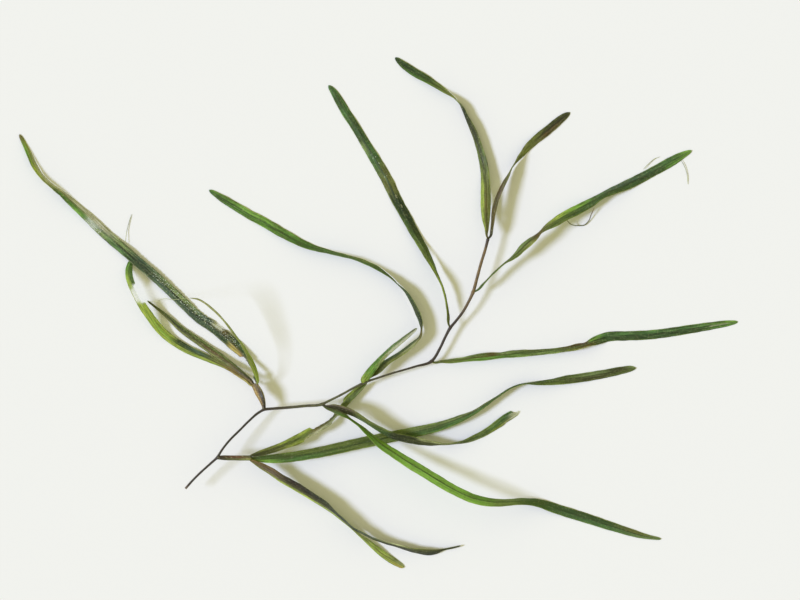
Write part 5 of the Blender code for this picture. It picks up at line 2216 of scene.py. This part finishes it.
def clear_stipule() -> Blade:
    """Describes the clear sheath beside the base of leaf_s_curved, green at its foot.

    Returns:
        The stipule, built as a blade.
    """
    sheath = LeafTissue(
        left=(
            (0.0, Shade.YELLOW_GREEN), (0.2, Shade.BRIGHT_GREEN), (0.5, Shade.GREEN),
            (1.0, Shade.DARK_OLIVE),
        ),
        right=(
            (0.0, Shade.YELLOW_GREEN), (0.2, Shade.BRIGHT_GREEN), (0.45, Shade.PALE_OLIVE),
            (1.0, Shade.PALE_CREAM),
        ),
        midrib=(
            (0.0, Shade.YELLOW_GREEN), (0.35, Shade.FRESH_GREEN), (0.5, Shade.PALE_OLIVE),
            (1.0, Shade.OLIVE),
        ),
        margin=Shade.OLIVE,
        margin_share=0.3,
        clear_left=((0.0, 0.0), (0.45, 0.0), (0.6, 0.2), (1.0, 0.25)),
        clear_right=((0.0, 0.0), (0.4, 0.0), (0.55, 0.45), (1.0, 0.5)),
    )
    return Blade(
        "stipule",
        "stipule",
        sheath,
        [
            (57.0, 34.6, 5.8, 2.2, 0),
            (58.2, 36.2, 5.8, 2.6, 0),
            (59.6, 38.0, 5.7, 2.5, 0),
            (61.6, 40.4, 5.6, 2.1, 5),
            (63.8, 42.7, 5.5, 1.8, 5),
            (66.2, 44.9, 5.3, 1.8, 5),
            (68.8, 47.0, 5.1, 1.6, 5),
            (71.4, 49.1, 4.9, 1.3, 0),
            (74.0, 51.2, 4.7, 0.9, 0),
        ],
        seed=19,
        root=MIDDLE_NODE,
        ripple=0.05,
    )


def threads() -> list[Thread]:
    """Lists the fine threads that cling to a few of the leaves.

    Returns:
        The five threads.
    """
    green_brown = StemSkin(((0.0, Shade.OLIVE), (0.5, Shade.DARK_OLIVE), (1.0, Shade.BROWN)))
    pale = StemSkin(((0.0, Shade.OLIVE), (1.0, Shade.PALE_OLIVE)), fleck=Shade.DARK_OLIVE)
    return [
        Thread(
            "thread_looped",
            [
                (121.6, 85.9, 3.8),
                (123.2, 84.4, 2.0),
                (125.3, 84.0, 0.6),
                (127.5, 84.2, 0.4),
                (128.9, 85.6, 0.6),
                (129.7, 87.6, 1.3),
                (130.6, 89.6, 2.3),
            ],
            0.16,
            green_brown,
        ),
        Thread(
            "thread_at_tip",
            [(158.4, 104.9, 0.5), (159.5, 103.0, 0.4), (160.3, 100.6, 0.3), (160.6, 97.2, 0.2)],
            0.09,
            pale,
        ),
        Thread(
            "thread_short",
            [(146.3, 102.0, 0.5), (148.3, 104.0, 0.4), (150.0, 105.4, 0.3), (151.6, 106.0, 0.2)],
            0.09,
            pale,
        ),
        Thread(
            "thread_far_left",
            [
                (-17.4, 87.6, 0.2),
                (-18.2, 85.0, 0.3),
                (-18.9, 82.2, 0.5),
                (-19.2, 80.0, 0.8),
                (-19.4, 78.0, 1.1),
            ],
            0.09,
            pale,
        ),
        Thread(
            "thread_over_far_left",
            [
                (1.9, 60.8, 16.6),
                (-1.0, 60.6, 13.2),
                (-4.2, 60.3, 8.6),
                (-6.7, 60.6, 5.8),
                (-9.9, 59.7, 4.1),
                (-11.9, 59.8, 3.4),
            ],
            0.07,
            pale,
        ),
    ]


def lime_specks(blades: Mapping[str, Blade]) -> list[LimeSpecks]:
    """Patches of lime grains: two on leaf_far_left and a thin one on leaf_upper_straight.

    Args:
        blades: The blades by their nodes' names.

    Returns:
        The patches, each a stretch along the blade and across it.
    """
    far_left, straight = blades["leaf_far_left"], blades["leaf_upper_straight"]
    return [
        LimeSpecks(
            "lime_on_far_left_lower",
            far_left,
            start=0.13,
            stop=0.46,
            left=-0.25,
            right=0.8,
            per_square_mm=3.2,
            grain_mm=0.24,
            seed=3,
        ),
        LimeSpecks(
            "lime_on_far_left_upper",
            far_left,
            start=0.635,
            stop=0.7,
            left=-0.85,
            right=0.4,
            per_square_mm=5.0,
            grain_mm=0.3,
            seed=5,
        ),
        LimeSpecks(
            "lime_on_straight",
            straight,
            start=0.6,
            stop=0.72,
            left=-0.3,
            right=0.4,
            per_square_mm=1.0,
            grain_mm=0.24,
            seed=7,
        ),
    ]


def main() -> None:
    """Builds the sprig's pieces in order, then the surface, the light and the camera."""
    logging.basicConfig(level=logging.INFO, format="%(name)s: %(message)s")
    sweep, strew = stem_tree(), grain_tree()
    for length in stem_lengths():
        length.build(sweep)
    for shoot in side_shoots():
        shoot.build()
    blades = top_blades() + middle_blades() + lower_blades() + left_blades() + [clear_stipule()]
    for blade in blades:
        blade.build()
    for thread in threads():
        thread.build(sweep)
    for specks in lime_specks({blade.node: blade for blade in blades}):
        specks.build(strew)
    Studio().build()


if __name__ == "__main__":
    main()
